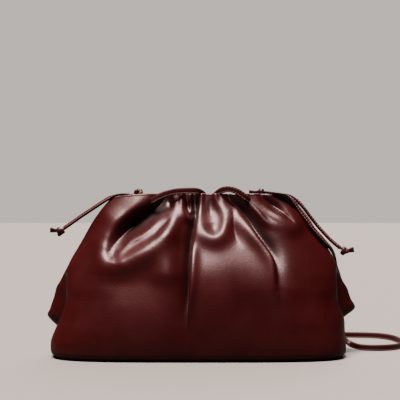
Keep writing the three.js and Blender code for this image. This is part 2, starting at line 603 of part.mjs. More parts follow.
// A knot just past the end of a route, or before its start, with its tail pointing away.
function knotAt(name, route, atStart, length, thickness, tail, tailWidth) {
  const curve = new FlatRoute(route);
  const end = curve.getPointAt(atStart ? 0 : 1);
  const away = curve.getTangentAt(atStart ? 0 : 1).multiplyScalar(atStart ? -1 : 1);
  const knot = part(name, knotGeometry(length, thickness, tail, tailWidth), laceLeather);
  knot.position.copy(end).addScaledVector(away, length / 2 + TOUCH_GAP);
  knot.quaternion.setFromUnitVectors(new THREE.Vector3(1, 0, 0), away);
  return knot;
}

const slotCutter = toSolid(stripGeometry(DRAWSTRING_ROUTE, LACE_WIDTH, LACE_THICKNESS, SLOT_CLEARANCE));
const pouch = toGeometry(toSolid(pouchGeometry()).subtract(slotCutter));

const bag = new THREE.Group();
bag.add(part("pouch_body", pouch, pouchLeather));
const laces = [
  ["drawstring_weave", DRAWSTRING_ROUTE, LACE_WIDTH, LACE_THICKNESS],
  ["drawstring_end_left", LEFT_END_ROUTE, LACE_WIDTH, LACE_THICKNESS],
  ["drawstring_end_right", RIGHT_END_ROUTE, LACE_WIDTH, LACE_THICKNESS],
  ["shoulder_strap", STRAP_ROUTE, STRAP_WIDTH, STRAP_THICKNESS],
];
for (const [name, route, width, thickness] of laces) {
  bag.add(part(name, stripGeometry(route, width, thickness), laceLeather));
}
const knots = [
  ["drawstring_knot_left", LEFT_END_ROUTE, false, LACE_KNOT, LACE_THICKNESS, KNOT_TAIL, LACE_WIDTH],
  ["drawstring_knot_right", RIGHT_END_ROUTE, false, LACE_KNOT, LACE_THICKNESS, KNOT_TAIL, LACE_WIDTH],
  ["strap_knot_left", STRAP_ROUTE, false, STRAP_KNOT, STRAP_THICKNESS, STRAP_TAIL, STRAP_WIDTH],
  ["strap_knot_right", STRAP_ROUTE, true, STRAP_KNOT, STRAP_THICKNESS, STRAP_TAIL, STRAP_WIDTH],
];
for (const row of knots) bag.add(knotAt(...row));

export default bag;
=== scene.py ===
"""A soft gathered leather pouch bag with a stitched flat drawstring and a long flat strap."""

import math

import bpy
import numpy as np
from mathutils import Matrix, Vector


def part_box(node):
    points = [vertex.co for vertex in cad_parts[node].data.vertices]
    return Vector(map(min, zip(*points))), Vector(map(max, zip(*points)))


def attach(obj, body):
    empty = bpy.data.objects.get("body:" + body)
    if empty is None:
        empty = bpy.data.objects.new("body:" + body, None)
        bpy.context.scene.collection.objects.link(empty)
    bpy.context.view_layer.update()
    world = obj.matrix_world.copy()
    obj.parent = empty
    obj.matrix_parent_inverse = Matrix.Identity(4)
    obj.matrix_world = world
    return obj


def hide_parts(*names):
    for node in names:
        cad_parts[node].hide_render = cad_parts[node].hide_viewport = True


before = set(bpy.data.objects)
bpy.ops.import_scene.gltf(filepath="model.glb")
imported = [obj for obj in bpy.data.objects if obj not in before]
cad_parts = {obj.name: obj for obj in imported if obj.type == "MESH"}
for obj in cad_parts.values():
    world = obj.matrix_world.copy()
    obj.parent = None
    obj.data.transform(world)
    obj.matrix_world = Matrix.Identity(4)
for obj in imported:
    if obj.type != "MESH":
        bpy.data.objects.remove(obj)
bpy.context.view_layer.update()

MM = 0.001
BODY = "root"

# Sizes of the pouch in millimetres, its height from the frame's own solid
HALF_SPAN = 146.0
HALF_DEPTH = 66.0
LIP_RISE = 1.5  # how far the lip's middle stands above its nominal height
POUCH_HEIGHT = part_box("pouch_body")[1].z / MM - LIP_RISE
HALF_MOUTH_SPAN = 85.0
HALF_MOUTH_DEPTH = 15.0
LEATHER = 2.0
BASE_EDGE = 7.0  # radius of the round edge at the floor
LIP_LIFT = 1.9  # rise of the gathered middle of the lip
LIP_DIP = 2.2  # drop of the lip at the mouth's two ends
LIP_LIFT_SPAN = (0.6, 0.9)  # shares of the half mouth over which the rise fades
LIP_DIP_SPAN = (0.84, 1.0)  # shares of the half mouth over which the drop grows
LIP_POWER = 20  # how closely the rise and the drop keep to the lip
LIP_ROLL = 1.5  # radius of the turned edge
HEM_DROP = 13.0

# Sizes of the flat laces in millimetres
LACE_WIDTH = 5.8
LACE_THICKNESS = 2.4
STRAP_WIDTH = 6.0
STRAP_THICKNESS = 2.4
LACE_STEP = 0.9  # between the rings of a swept lace

# The camera, at the photograph's distance and height, looking level along +Y
CAMERA_PLACE = (-0.0024, -1.056, 0.1454)
CAMERA_LENS = 100.0
CAMERA_SENSOR = 36.0

# Directions in which the flat leather's width lies along a route
LEVEL = (0, 1, 0)
ROLLED = (0, 0.9, 0.43)
UPRIGHT = (0, 0, 1)
TURNING = (0, 1, 1)
SIDEWAYS = (1, 0, 0)
LIFTING = (1, 0, 1)
SHOULDER = (0.4, 0.86, 0.3)
FLANK = (0, 0.85, 0.5)

# Routes along the middle of the drawstring and the strap, in millimetres: the points of the solids, with
# the drawstring's arches, its free ends and the strap's start up to 1.2 mm lower
DRAWSTRING_ROUTE = [
    (-57.0, -9.6, 144.6, UPRIGHT), (-52.6, -10.0, 144.6, UPRIGHT), (-49.0, -12.8, 144.6, UPRIGHT),
    (-46.4, -17.6, 145.2, UPRIGHT), (-41.5, -20.0, 148.2, UPRIGHT), (-34.5, -20.0, 151.2, UPRIGHT),
    (-27.7, -19.4, 153.1, UPRIGHT), (-19.2, -18.6, 154.0, UPRIGHT), (-10.0, -17.8, 154.2, UPRIGHT),
    (-4.4, -15.0, 153.6, UPRIGHT), (-0.6, -10.6, 151.8, UPRIGHT), (2.6, -8.4, 149.0, UPRIGHT),
    (6.8, -7.8, 147.6, UPRIGHT), (11.0, -8.4, 149.2, UPRIGHT), (14.2, -10.8, 152.0, UPRIGHT),
    (18.0, -15.8, 154.4, UPRIGHT), (24.9, -19.4, 155.6, UPRIGHT), (31.2, -20.6, 153.8, UPRIGHT),
    (36.6, -20.8, 150.6, UPRIGHT), (41.0, -20.0, 147.0, UPRIGHT), (43.6, -16.6, 144.9, UPRIGHT),
    (45.6, -12.0, 144.5, UPRIGHT), (48.8, -8.8, 144.5, UPRIGHT), (52.5, -7.8, 144.5, UPRIGHT),
]
LEFT_END_ROUTE = [
    (-57.5, -9.55, 144.6, UPRIGHT), (-59.8, -9.3, 144.8, UPRIGHT), (-62.8, -8.2, 146.8, TURNING),
    (-66.0, -6.6, 149.2, TURNING), (-69.5, -5.6, 150.6, LEVEL), (-75.0, -5.0, 150.9, LEVEL),
    (-81.5, -5.0, 150.0, LEVEL), (-88.0, -5.2, 147.4, ROLLED), (-94.0, -5.6, 143.8, ROLLED),
    (-99.8, -6.0, 140.0, ROLLED), (-107.0, -6.4, 135.2, ROLLED), (-114.5, -6.8, 130.2, ROLLED),
    (-121.5, -7.2, 125.2, ROLLED), (-130.6, -7.7, 118.8, ROLLED),
]
RIGHT_END_ROUTE = [
    (53.15, -7.7, 144.5, UPRIGHT), (55.6, -7.2, 144.8, UPRIGHT), (59.0, -6.4, 147.0, TURNING),
    (62.6, -5.2, 149.6, TURNING), (67.0, -4.2, 150.8, LEVEL), (72.0, -3.7, 151.2, LEVEL),
    (78.5, -3.6, 150.5, LEVEL), (85.0, -3.8, 148.2, LEVEL), (90.0, -4.2, 144.4, ROLLED),
    (94.6, -4.6, 139.4, ROLLED), (98.8, -5.0, 134.0, ROLLED), (103.0, -5.4, 128.3, ROLLED),
    (107.6, -5.8, 122.4, ROLLED), (112.4, -6.2, 116.8, ROLLED), (117.2, -6.6, 111.6, ROLLED),
    (122.2, -7.0, 106.6, ROLLED), (130.0, -7.6, 100.0, ROLLED),
]
STRAP_ROUTE = [
    (58.5, -7.4, 152.8, LEVEL), (64.0, -10.8, 152.3, LEVEL), (71.0, -12.9, 151.4, LEVEL),
    (78.5, -12.8, 149.4, LEVEL), (85.0, -12.2, 144.2, SHOULDER), (91.2, -12.2, 135.2, SHOULDER),
    (97.6, -13.9, 126.6, SHOULDER), (103.8, -15.1, 118.2, SHOULDER), (110.2, -15.0, 111.0, SHOULDER),
    (115.8, -11.2, 105.2, FLANK), (120.7, -5.0, 100.2, FLANK), (124.0, 3.0, 96.2, FLANK),
    (126.8, 10.8, 91.2, FLANK), (128.9, 18.0, 83.2, FLANK), (128.8, 24.6, 71.6, FLANK),
    (129.6, 30.6, 56.4, FLANK), (130.4, 33.4, 42.0, LEVEL), (131.8, 33.6, 28.0, LEVEL),
    (135.6, 31.0, 15.6, LEVEL), (142.4, 25.6, 6.6, TURNING), (150.0, 18.8, 3.8, UPRIGHT),
    (160.0, 14.6, 3.3, UPRIGHT), (171.0, 14.0, 3.2, UPRIGHT), (182.5, 18.0, 3.2, UPRIGHT),
    (192.0, 28.0, 3.2, UPRIGHT), (198.4, 45.0, 3.2, UPRIGHT), (199.8, 66.0, 3.2, UPRIGHT),
    (197.4, 87.0, 3.2, UPRIGHT), (191.0, 103.0, 3.2, UPRIGHT), (180.0, 113.0, 3.2, UPRIGHT),
    (164.0, 116.8, 3.2, UPRIGHT), (140.0, 117.4, 3.2, UPRIGHT), (105.0, 115.4, 3.2, UPRIGHT),
    (65.0, 112.0, 3.2, UPRIGHT), (25.0, 109.0, 3.2, UPRIGHT), (-15.0, 106.4, 3.2, UPRIGHT),
    (-50.0, 100.8, 3.3, UPRIGHT), (-74.0, 89.6, 3.8, UPRIGHT), (-87.0, 76.0, 8.6, LIFTING),
    (-90.4, 67.6, 19.0, SIDEWAYS), (-89.0, 63.9, 33.0, SIDEWAYS), (-86.0, 61.4, 49.0, SIDEWAYS),
    (-82.4, 57.2, 66.0, SIDEWAYS), (-78.6, 49.6, 84.0, SIDEWAYS), (-74.8, 38.8, 102.0, SIDEWAYS),
    (-71.0, 31.4, 119.0, SIDEWAYS), (-67.6, 26.0, 135.0, SIDEWAYS), (-65.2, 21.4, 144.6, SIDEWAYS),
    (-63.6, 17.6, 151.2, SIDEWAYS), (-62.2, 11.4, 154.3, SIDEWAYS), (-61.0, 5.6, 153.4, SIDEWAYS),
]


def place_camera():
    """The photograph's view: level, from the front."""
    data = bpy.data.cameras.new("camera")
    data.lens = CAMERA_LENS
    data.sensor_width = CAMERA_SENSOR
    camera = bpy.data.objects.new("camera", data)
    camera.location = CAMERA_PLACE
    camera.rotation_euler = (math.pi / 2, 0, 0)
    bpy.context.scene.collection.objects.link(camera)
    bpy.context.scene.camera = camera


def smoothstep(value, low, high):
    """0 below low, 1 above high, and a soft step between them."""
    share = np.clip((value - low) / (high - low), 0, 1)
    return share * share * (3 - 2 * share)


def unit(vectors):
    """Vectors of length 1 in the same directions."""
    return vectors / np.maximum(np.linalg.norm(vectors, axis=-1, keepdims=True), 1e-9)


def resample(at, places, values):
    """Every column of the values, which are known at some places, at other places."""
    return np.stack([np.interp(at, places, column) for column in values.T], axis=1)


def mesh_piece(name, points, material, *groups):
    """A smooth mesh object from points in millimetres and groups of faces. The faces of a group have
    as many corners as each other, and all are wound so that they face outwards."""
    corners = np.concatenate([np.ravel(group) for group in groups])
    sizes = np.concatenate([np.full(len(group), np.shape(group)[1]) for group in groups])
    mesh = bpy.data.meshes.new(name)
    mesh.vertices.add(len(points))
    mesh.vertices.foreach_set("co", (np.asarray(points, float) * MM).astype(np.float32).ravel())
    mesh.loops.add(len(corners))
    mesh.loops.foreach_set("vertex_index", corners.astype(np.int32))
    mesh.polygons.add(len(sizes))
    mesh.polygons.foreach_set("loop_start", (np.cumsum(sizes) - sizes).astype(np.int32))
    mesh.polygons.foreach_set("loop_total", sizes.astype(np.int32))
    mesh.update(calc_edges=True)
    mesh.validate()
    mesh.polygons.foreach_set("use_smooth", np.full(len(mesh.polygons), True))
    mesh.materials.append(material)
    piece = bpy.data.objects.new(name, mesh)
    bpy.context.scene.collection.objects.link(piece)
    return piece


def point_attribute(piece, name, values):
    """Stores one number for each point, for a material to read."""
    attribute = piece.data.attributes.new(name, "FLOAT", "POINT")
    attribute.data.foreach_set("value", np.asarray(values, np.float32).ravel())


def grid_faces(rows, columns):
    """Four-cornered faces of a grid of rows by columns, each row joined round."""
    column = np.arange(columns)[None, :]
    after = (column + 1) % columns
    corner = np.arange(rows - 1)[:, None] * columns
    return np.stack(
        [corner + column, corner + after, corner + columns + after, corner + columns + column], axis=-1
    ).reshape(-1, 4)


# Materials

PAINTED_SHEEN_TINT = (1.0, 0.74, 0.76)  # painted reflection colour: a pink tint on the gloss that stands in for the warm light it reflects, not the leather's own colour
COAT_ROUGHNESS = 0.3
WRINKLE_SCALE = 0.35  # of the grain's wrinkles, as a share of its cells' scale
TONE_RANGE = (0.35, 0.65)  # values of the slow tone between which the colour drifts
ROUGHNESS_DROP, ROUGHNESS_RISE = 0.03, 0.04
GRAIN_DEPTH = 0.0002  # metres


def add_node(tree, kind, **values):
    """A new shader node. Each value is set on the socket of that name, with _ for a space, or else on the
    node's own property."""
    node = tree.nodes.new(kind)
    for key, value in values.items():
        socket = key.replace("_", " ")
        if socket in node.inputs:
            node.inputs[socket].default_value = value
        else:
            setattr(node, key, value)
    return node


def grain_group():
    """Node group: fine leather grain. Small rounded cells, Cells of them to a metre, with soft wrinkles
    over them, and a slow change of tone. It gives a height for a bump, and the tone as a mask."""
    tree = bpy.data.node_groups.new("leather_grain", "ShaderNodeTree")
    for name, in_out in (("Cells", "INPUT"), ("Height", "OUTPUT"), ("Tone", "OUTPUT")):
        tree.interface.new_socket(name=name, in_out=in_out, socket_type="NodeSocketFloat")
    inside = tree.nodes.new("NodeGroupInput")
    outside = tree.nodes.new("NodeGroupOutput")
    place = add_node(tree, "ShaderNodeTexCoord")
    cells = add_node(tree, "ShaderNodeTexVoronoi", feature="SMOOTH_F1", Smoothness=0.6)
    wrinkle = add_node(tree, "ShaderNodeTexNoise", Detail=3.0, Roughness=0.6)
    cloud = add_node(tree, "ShaderNodeTexNoise", Scale=26.0, Detail=2.0, Roughness=0.5)
    coarser = add_node(tree, "ShaderNodeMath", operation="MULTIPLY")
    coarser.inputs[1].default_value = WRINKLE_SCALE
    both = add_node(tree, "ShaderNodeMath", operation="ADD")
    link = tree.links.new
    for texture in (cells, wrinkle, cloud):
        link(place.outputs["Object"], texture.inputs["Vector"])
    link(inside.outputs["Cells"], cells.inputs["Scale"])
    link(inside.outputs["Cells"], coarser.inputs[0])
    link(coarser.outputs[0], wrinkle.inputs["Scale"])
    link(cells.outputs["Distance"], both.inputs[0])
    link(wrinkle.outputs["Fac"], both.inputs[1])
    link(both.outputs[0], outside.inputs["Height"])
    link(cloud.outputs["Fac"], outside.inputs["Tone"])
    return tree


GRAIN = grain_group()


def leather_material(name, dark, light, roughness, cells, bump, coat=0.0, painted=()):
    """Smooth leather. The colour drifts between dark and light with the grain's slow tone, the roughness
    drifts with it, and the grain bumps the surface. Each painted pair is an attribute of the piece and the
    colour that shows where it is 1: on the pouch, painted shade that darkens the deep creases; on the laces,
    the paint of their edges and the colour of their cut ends."""
    material = bpy.data.materials.new(name)
    material.use_nodes = True
    tree = material.node_tree
    link = tree.links.new
    shader = tree.nodes["Principled BSDF"]
    # Painted reflection colour: the gloss of every leather is tinted pink.
    shader.inputs["Specular Tint"].default_value = (*PAINTED_SHEEN_TINT, 1)
    shader.inputs["Coat Weight"].default_value = coat
    shader.inputs["Coat Roughness"].default_value = COAT_ROUGHNESS
    grain = add_node(tree, "ShaderNodeGroup", node_tree=GRAIN, Cells=cells)
    tone = add_node(tree, "ShaderNodeMapRange", From_Min=TONE_RANGE[0], From_Max=TONE_RANGE[1])
    colours = add_node(tree, "ShaderNodeMix", data_type="RGBA", A=(*dark, 1), B=(*light, 1))
    rough = add_node(tree, "ShaderNodeMapRange", To_Min=roughness - ROUGHNESS_DROP,
                     To_Max=roughness + ROUGHNESS_RISE)
    lift = add_node(tree, "ShaderNodeBump", Strength=bump, Distance=GRAIN_DEPTH)
    link(grain.outputs["Tone"], tone.inputs["Value"])
    link(tone.outputs["Result"], colours.inputs["Factor"])
    link(tone.outputs["Result"], rough.inputs["Value"])
    link(rough.outputs["Result"], shader.inputs["Roughness"])
    link(grain.outputs["Height"], lift.inputs["Height"])
    link(lift.outputs["Normal"], shader.inputs["Normal"])
    colour = colours.outputs["Result"]
    for attribute, paint in painted:
        mask = add_node(tree, "ShaderNodeAttribute", attribute_name=attribute)
        over = add_node(tree, "ShaderNodeMix", data_type="RGBA", B=(*paint, 1))
        link(mask.outputs["Fac"], over.inputs["Factor"])
        link(colour, over.inputs["A"])
        colour = over.outputs["Result"]
    link(colour, shader.inputs["Base Color"])
    return material


# The pouch's shade attribute paints its deep creases near-black: painted shade, standing in for the shadow
# deep in the folds.
pouch_leather = leather_material(
    "pouch_leather", (0.030, 0.0017, 0.0021), (0.040, 0.0026, 0.0032), roughness=0.35, cells=1400.0,
    bump=0.35, painted=[("shade", (0.006, 0.0006, 0.0007))])
inside_leather = leather_material(
    "inside_leather", (0.06, 0.012, 0.012), (0.09, 0.018, 0.018), roughness=0.75, cells=900.0, bump=0.5)
lace_leather = leather_material(
    "lace_leather", (0.030, 0.0022, 0.0028), (0.042, 0.0034, 0.0042), roughness=0.40, cells=1700.0, bump=0.3,
    coat=0.1, painted=[("edge", (0.006, 0.002, 0.002)), ("cut", (0.42, 0.17, 0.04))])
thread = leather_material(
    "thread", (0.32, 0.12, 0.115), (0.46, 0.20, 0.185), roughness=0.55, cells=3000.0, bump=0.2)


# Laces: the drawstring, its ends and the strap

class Route:
    """A smooth curve through given points, drawn as the solids' routes are: on each span a cubic whose end
    slopes come from the centripetal spacing of its four nearest points, taken in fine short steps. The
    width's direction turns evenly from point to point. places are lengths along it, with points, tangents,
    widths and normals there."""

    def __init__(self, rows, step):
        points = np.array([row[:3] for row in rows], float)
        widths = unit(np.array([row[3] for row in rows], float))
        ends = np.vstack([2 * points[0] - points[1], points, 2 * points[-1] - points[-2]])
        fine = 24
        share = np.linspace(0, 1, fine, endpoint=False)[None, :, None]
        before, start, finish, after = ends[:-3, None], ends[1:-2, None], ends[2:-1, None], ends[3:, None]
        gaps = np.sqrt(np.linalg.norm(np.diff(ends, axis=0), axis=1))
        first, middle, last = (gaps[i:len(gaps) - 2 + i][:, None, None] for i in range(3))
        slope = (start - before) / first - (finish - before) / (first + middle) + (finish - start) / middle
        slope_end = (finish - start) / middle - (after - start) / (middle + last) + (after - finish) / last
        slope, slope_end = slope * middle, slope_end * middle
        curve = (
            (2 * share**3 - 3 * share**2 + 1) * start + (share**3 - 2 * share**2 + share) * slope
            + (3 * share**2 - 2 * share**3) * finish + (share**3 - share**2) * slope_end
        ).reshape(-1, 3)
        turn = ((1 - share) * widths[:-1, None] + share * widths[1:, None]).reshape(-1, 3)
        curve = np.vstack([curve, points[-1]])
        turn = np.vstack([turn, widths[-1]])
        along = np.concatenate([[0], np.cumsum(np.linalg.norm(np.diff(curve, axis=0), axis=1))])
        self.length = along[-1]
        self.places = np.linspace(0, self.length, max(int(self.length / step), 2) + 1)
        self.points = resample(self.places, along, curve)
        width = resample(self.places, along, turn)
        self.tangents = unit(np.gradient(self.points, self.places, axis=0))
        width -= np.sum(width * self.tangents, axis=1, keepdims=True) * self.tangents
        self.widths = unit(width)
        self.normals = np.cross(self.tangents, self.widths)


# Half of a flat stitched strip's outline, from its middle to its edge: across and rise, as shares of half
# the width and half the thickness. The dip at 0.66 is the channel where the stitches sit.
LACE_OUTLINE = np.array([
    (0.0, 1.03), (0.3, 1.0), (0.58, 0.93), (0.66, 0.82), (0.74, 0.93), (0.86, 0.92), (0.94, 0.74),
    (0.985, 0.45), (1.0, 0.0),
])
PAINTED_EDGE = (0.9, 0.97)  # shares of half the width over which the edge's paint starts


def lace_profile(width, thickness):
    """Outline of a flat stitched strip, as points across and through it, and the mask of its edges."""
    top = np.concatenate([LACE_OUTLINE[::-1] * [-1, 1], LACE_OUTLINE[1:]])
    outline = np.concatenate([top, top[1:-1][::-1] * [1, -1]])
    edge = smoothstep(np.abs(outline[:, 0]), *PAINTED_EDGE)
    return outline * [width / 2, thickness / 2], edge


def tube_piece(name, rings, first, last, material):
    """A closed tube: rings of points, and a fan of faces to a middle point at each end."""
    count = rings.shape[1]
    points = np.vstack([rings.reshape(-1, 3), first, last])
    ring = np.arange(count)
    after = (ring + 1) % count
    start = (len(rings) - 1) * count
    first_fan = np.stack([np.full(count, len(points) - 2), after, ring], axis=1)
    last_fan = np.stack([np.full(count, len(points) - 1), start + ring, start + after], axis=1)
    return mesh_piece(name, points, material, grid_faces(len(rings), count), first_fan, last_fan)


def lace(name, rows, width, thickness):
    """A strip swept along a route: each ring is the profile laid on the route's width and normal."""
    route = Route(rows, LACE_STEP)
    outline, edge = lace_profile(width, thickness)
    rings = (
        route.points[:, None]
        + outline[None, :, :1] * route.widths[:, None]
        + outline[None, :, 1:] * route.normals[:, None]
    )
    piece = tube_piece(name, rings, route.points[0], route.points[-1], lace_leather)
    point_attribute(piece, "edge", np.concatenate([np.tile(edge, len(route.points)), [1, 1]]))
    return piece, route


# Stitches: sizes in millimetres, and the rings along a stitch: place as a share of its half length, and
# radius and depth in the leather as shares of its radius
STITCH_INSET = 1.0
STITCH_PITCH = 2.6
STITCH_LENGTH = 1.7
STITCH_RADIUS = 0.22
STITCH_SIDES = 6
STITCH_SEAT = 0.42  # height of the channel as a share of the thickness
STITCH_LIFT = 0.1
STITCH_RINGS = [(-1.0, 0.25, 0.5), (-0.75, 1.0, 0.1), (0.75, 1.0, 0.1), (1.0, 0.25, 0.5)]


def stitches(name, route, width, thickness):
    """Stitches along both edges of a strip, on both faces: short six-sided grains with tapered ends,
    one each pitch, laid along the route's tangent."""
    places = np.arange(STITCH_PITCH, route.length - STITCH_PITCH, STITCH_PITCH)
    angle = np.arange(STITCH_SIDES) / STITCH_SIDES * 2 * np.pi
    ring = np.stack([np.cos(angle), np.sin(angle)], axis=1)
    rings = []
    for edge in (-1, 1):
        for face in (-1, 1):
            for place, fat, sunk in STITCH_RINGS:
                along = places + place * STITCH_LENGTH / 2
                spot, wide, up = (resample(along, route.places, values)[:, None]
                                  for values in (route.points, route.widths, route.normals))
                height = STITCH_SEAT * thickness + STITCH_LIFT - sunk * STITCH_RADIUS
                middle = spot + edge * (width / 2 - STITCH_INSET) * wide + face * height * up
                spread = ring[None, :, :1] * wide + ring[None, :, 1:] * up * face
                rings.append(middle + STITCH_RADIUS * fat * spread)
    points = np.stack(rings, axis=1).reshape(-1, 3)
    per = len(STITCH_RINGS) * STITCH_SIDES
    starts = (np.arange(len(points) // per) * per)[:, None, None]
    sides = (grid_faces(len(STITCH_RINGS), STITCH_SIDES)[None] + starts).reshape(-1, 4)
    top = per - STITCH_SIDES
    ends = np.array([[5, 4, 3, 2], [5, 2, 1, 0], [top, top + 1, top + 2, top + 3],
                     [top, top + 3, top + 4, top + 5]])
    return mesh_piece(name, points, thread, sides, (ends[None] + starts).reshape(-1, 4))


def fasten(piece, slot, *nodes):
    """Fixes a piece to its body and hides the solids that it stands for. Its slot is not used."""
    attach(piece, BODY)
    if nodes:
        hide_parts(*nodes)


place_camera()

weave, weave_route = lace("drawstring_middle", DRAWSTRING_ROUTE, LACE_WIDTH, LACE_THICKNESS)
left_end, left_route = lace("drawstring_left", LEFT_END_ROUTE, LACE_WIDTH, LACE_THICKNESS)
right_end, right_route = lace("drawstring_right", RIGHT_END_ROUTE, LACE_WIDTH, LACE_THICKNESS)
strap, strap_route = lace("strap", STRAP_ROUTE, STRAP_WIDTH, STRAP_THICKNESS)
fasten(weave, "lace_leather", "drawstring_weave")
fasten(left_end, "lace_leather", "drawstring_end_left")
fasten(right_end, "lace_leather", "drawstring_end_right")
fasten(strap, "lace_leather", "shoulder_strap")
for name, route, width, thickness in (
    ("middle_stitches", weave_route, LACE_WIDTH, LACE_THICKNESS),
    ("left_stitches", left_route, LACE_WIDTH, LACE_THICKNESS),
    ("right_stitches", right_route, LACE_WIDTH, LACE_THICKNESS),
    ("strap_stitches", strap_route, STRAP_WIDTH, STRAP_THICKNESS),
):
    fasten(stitches(name, route, width, thickness), "lace_leather")


# Pouch: the gathered leather

# Plan of the pouch at each height share: left, right, front and back are shares of the way from the
# mouth's half size to the full half size, and corner is the power of the rounded outline.
SECTION_COLUMNS = ("height", "left", "right", "front", "back", "corner")
SECTIONS = np.array([
    (0.00, 0.92, 0.80, 0.98, 0.94, 4.2),
    (0.09, 0.93, 0.80, 1.00, 0.98, 3.9),
    (0.16, 0.88, 0.79, 1.00, 1.00, 3.6),
    (0.24, 0.81, 0.79, 0.98, 0.99, 3.3),
    (0.35, 0.75, 0.73, 0.92, 0.95, 3.0),
    (0.44, 0.76, 0.74, 0.85, 0.88, 2.8),
    (0.56, 0.69, 0.70, 0.71, 0.74, 2.6),
    (0.70, 0.50, 0.50, 0.50, 0.53, 2.4),
    (0.85, 0.29, 0.27, 0.25, 0.27, 2.3),
    (0.93, 0.14, 0.12, 0.10, 0.10, 2.4),
    (1.00, 0.01, 0.00, 0.00, 0.00, 2.6),
])

# Folds seen from the front: name, height in millimetres (below zero is a hollow), width on the left and on
# the right hand of someone who walks the line, strength at the line's start and at its end, and the line's
# points as shares of the half span and of the height.
FRONT_FOLDS = [
    ("left loop rim", 4.6, 6.0, 12.0, 0.8, 0, [(-0.352, 0.949), (-0.421, 0.918), (-0.49, 0.863),
        (-0.541, 0.813), (-0.581, 0.755), (-0.606, 0.697), (-0.612, 0.644), (-0.598, 0.606), (-0.573, 0.588),
        (-0.535, 0.58), (-0.48, 0.598), (-0.421, 0.629), (-0.357, 0.664), (-0.299, 0.708),
        (-0.253, 0.752)]),
    ("left loop crest", 2.0, 4.0, 6.0, 0.5, 0.3, [(-0.345, 0.965), (-0.43, 0.925), (-0.5, 0.87),
        (-0.55, 0.815), (-0.59, 0.755)]),
    ("left loop arm", 6.5, 8.0, 11.0, 0.5, 0.7, [(-0.48, 0.598), (-0.421, 0.629), (-0.357, 0.664),
        (-0.299, 0.708), (-0.247, 0.756), (-0.205, 0.806), (-0.175, 0.856), (-0.157, 0.92),
        (-0.15, 1.01)]),
    ("left loop seam", 3.0, 3.6, 3.8, 0.3, 0.2, [(-0.219, 0.87), (-0.278, 0.838), (-0.324, 0.795),
        (-0.378, 0.755), (-0.443, 0.721), (-0.483, 0.685), (-0.523, 0.641), (-0.55, 0.606)]),
    ("left shoulder", 4.2, 13.0, 13.0, 1, 1, [(-0.581, 0.894), (-0.518, 0.951), (-0.441, 0.976)]),
    ("first small ridge", 2.2, 1.8, 2.0, 1, 0, [(-0.226, 1.01), (-0.22, 0.94)]),
    ("second small ridge", 2.0, 1.8, 1.8, 1, 0, [(-0.188, 1.01), (-0.199, 0.958)]),
    ("pocket rim", 2.6, 2.4, 4.0, 1, 0.3, [(-0.13, 1.01), (-0.12, 0.918), (-0.104, 0.872),
        (-0.082, 0.85), (-0.062, 0.856)]),
    ("pocket streak", 2.6, 2.0, 2.2, 1, 0.3, [(-0.076, 1.0), (-0.073, 0.926), (-0.066, 0.868)]),
    ("centre ridge", 4.2, 3.6, 4.0, 0.2, 0, [(-0.026, 0.815), (-0.03, 0.717), (-0.034, 0.63),
        (-0.04, 0.522), (-0.048, 0.431), (-0.062, 0.343), (-0.076, 0.267), (-0.084, 0.191),
        (-0.088, 0.11)]),
    ("centre valley bank", 3.4, 12.0, 12.0, 1, 1, [(-0.205, 0.74), (-0.214, 0.64), (-0.216, 0.54)]),
    ("centre loop rim", 4.8, 5.4, 9.0, 1, 0.9, [(-0.02, 1.01), (-0.017, 0.918), (-0.008, 0.85),
        (0.01, 0.787), (0.036, 0.756), (0.073, 0.743), (0.105, 0.754), (0.132, 0.785), (0.144, 0.834),
        (0.138, 0.881), (0.118, 0.926), (0.09, 0.985)]),
    ("centre loop curl", 0.8, 4.0, 4.0, 1, 0, [(0.055, 0.98), (0.046, 0.93), (0.052, 0.885),
        (0.07, 0.845)]),
    ("centre panel", 1.2, 24.0, 24.0, 1, 1, [(0.055, 0.5), (0.07, 0.44), (0.08, 0.39)]),
    ("long ridge", 5.4, 5.0, 6.5, 0.3, 0, [(0.19, 0.89), (0.21, 0.855), (0.245, 0.815),
        (0.282, 0.772), (0.321, 0.722), (0.358, 0.678), (0.388, 0.634), (0.409, 0.59), (0.42, 0.54),
        (0.426, 0.478), (0.436, 0.422), (0.448, 0.36), (0.455, 0.3)]),
    ("right of valley", 3.0, 4.0, 4.0, 1, 0, [(0.24, 1.01), (0.278, 0.959), (0.31, 0.931),
        (0.356, 0.886), (0.391, 0.841), (0.438, 0.809), (0.49, 0.772)]),
    ("right loop rim", 4.8, 5.5, 10.0, 1, 1, [(0.325, 1.01), (0.358, 0.945), (0.404, 0.913), (0.459, 0.881),
        (0.51, 0.85), (0.55, 0.828), (0.572, 0.822), (0.58, 0.836), (0.571, 0.864), (0.546, 0.904),
        (0.514, 0.938), (0.467, 0.969), (0.406, 1.0)]),
    ("right flank", 3.0, 20.0, 20.0, 1, 1, [(0.437, 0.724), (0.451, 0.593), (0.459, 0.458)]),
    ("low dent", -3.5, 18.0, 18.0, 1, 1, [(-0.462, 0.47), (-0.325, 0.459)]),
    ("front belly", 4.0, 32.0, 32.0, 0, 0, [(-0.8, 0.52), (0.0, 0.53), (0.8, 0.52)]),
]
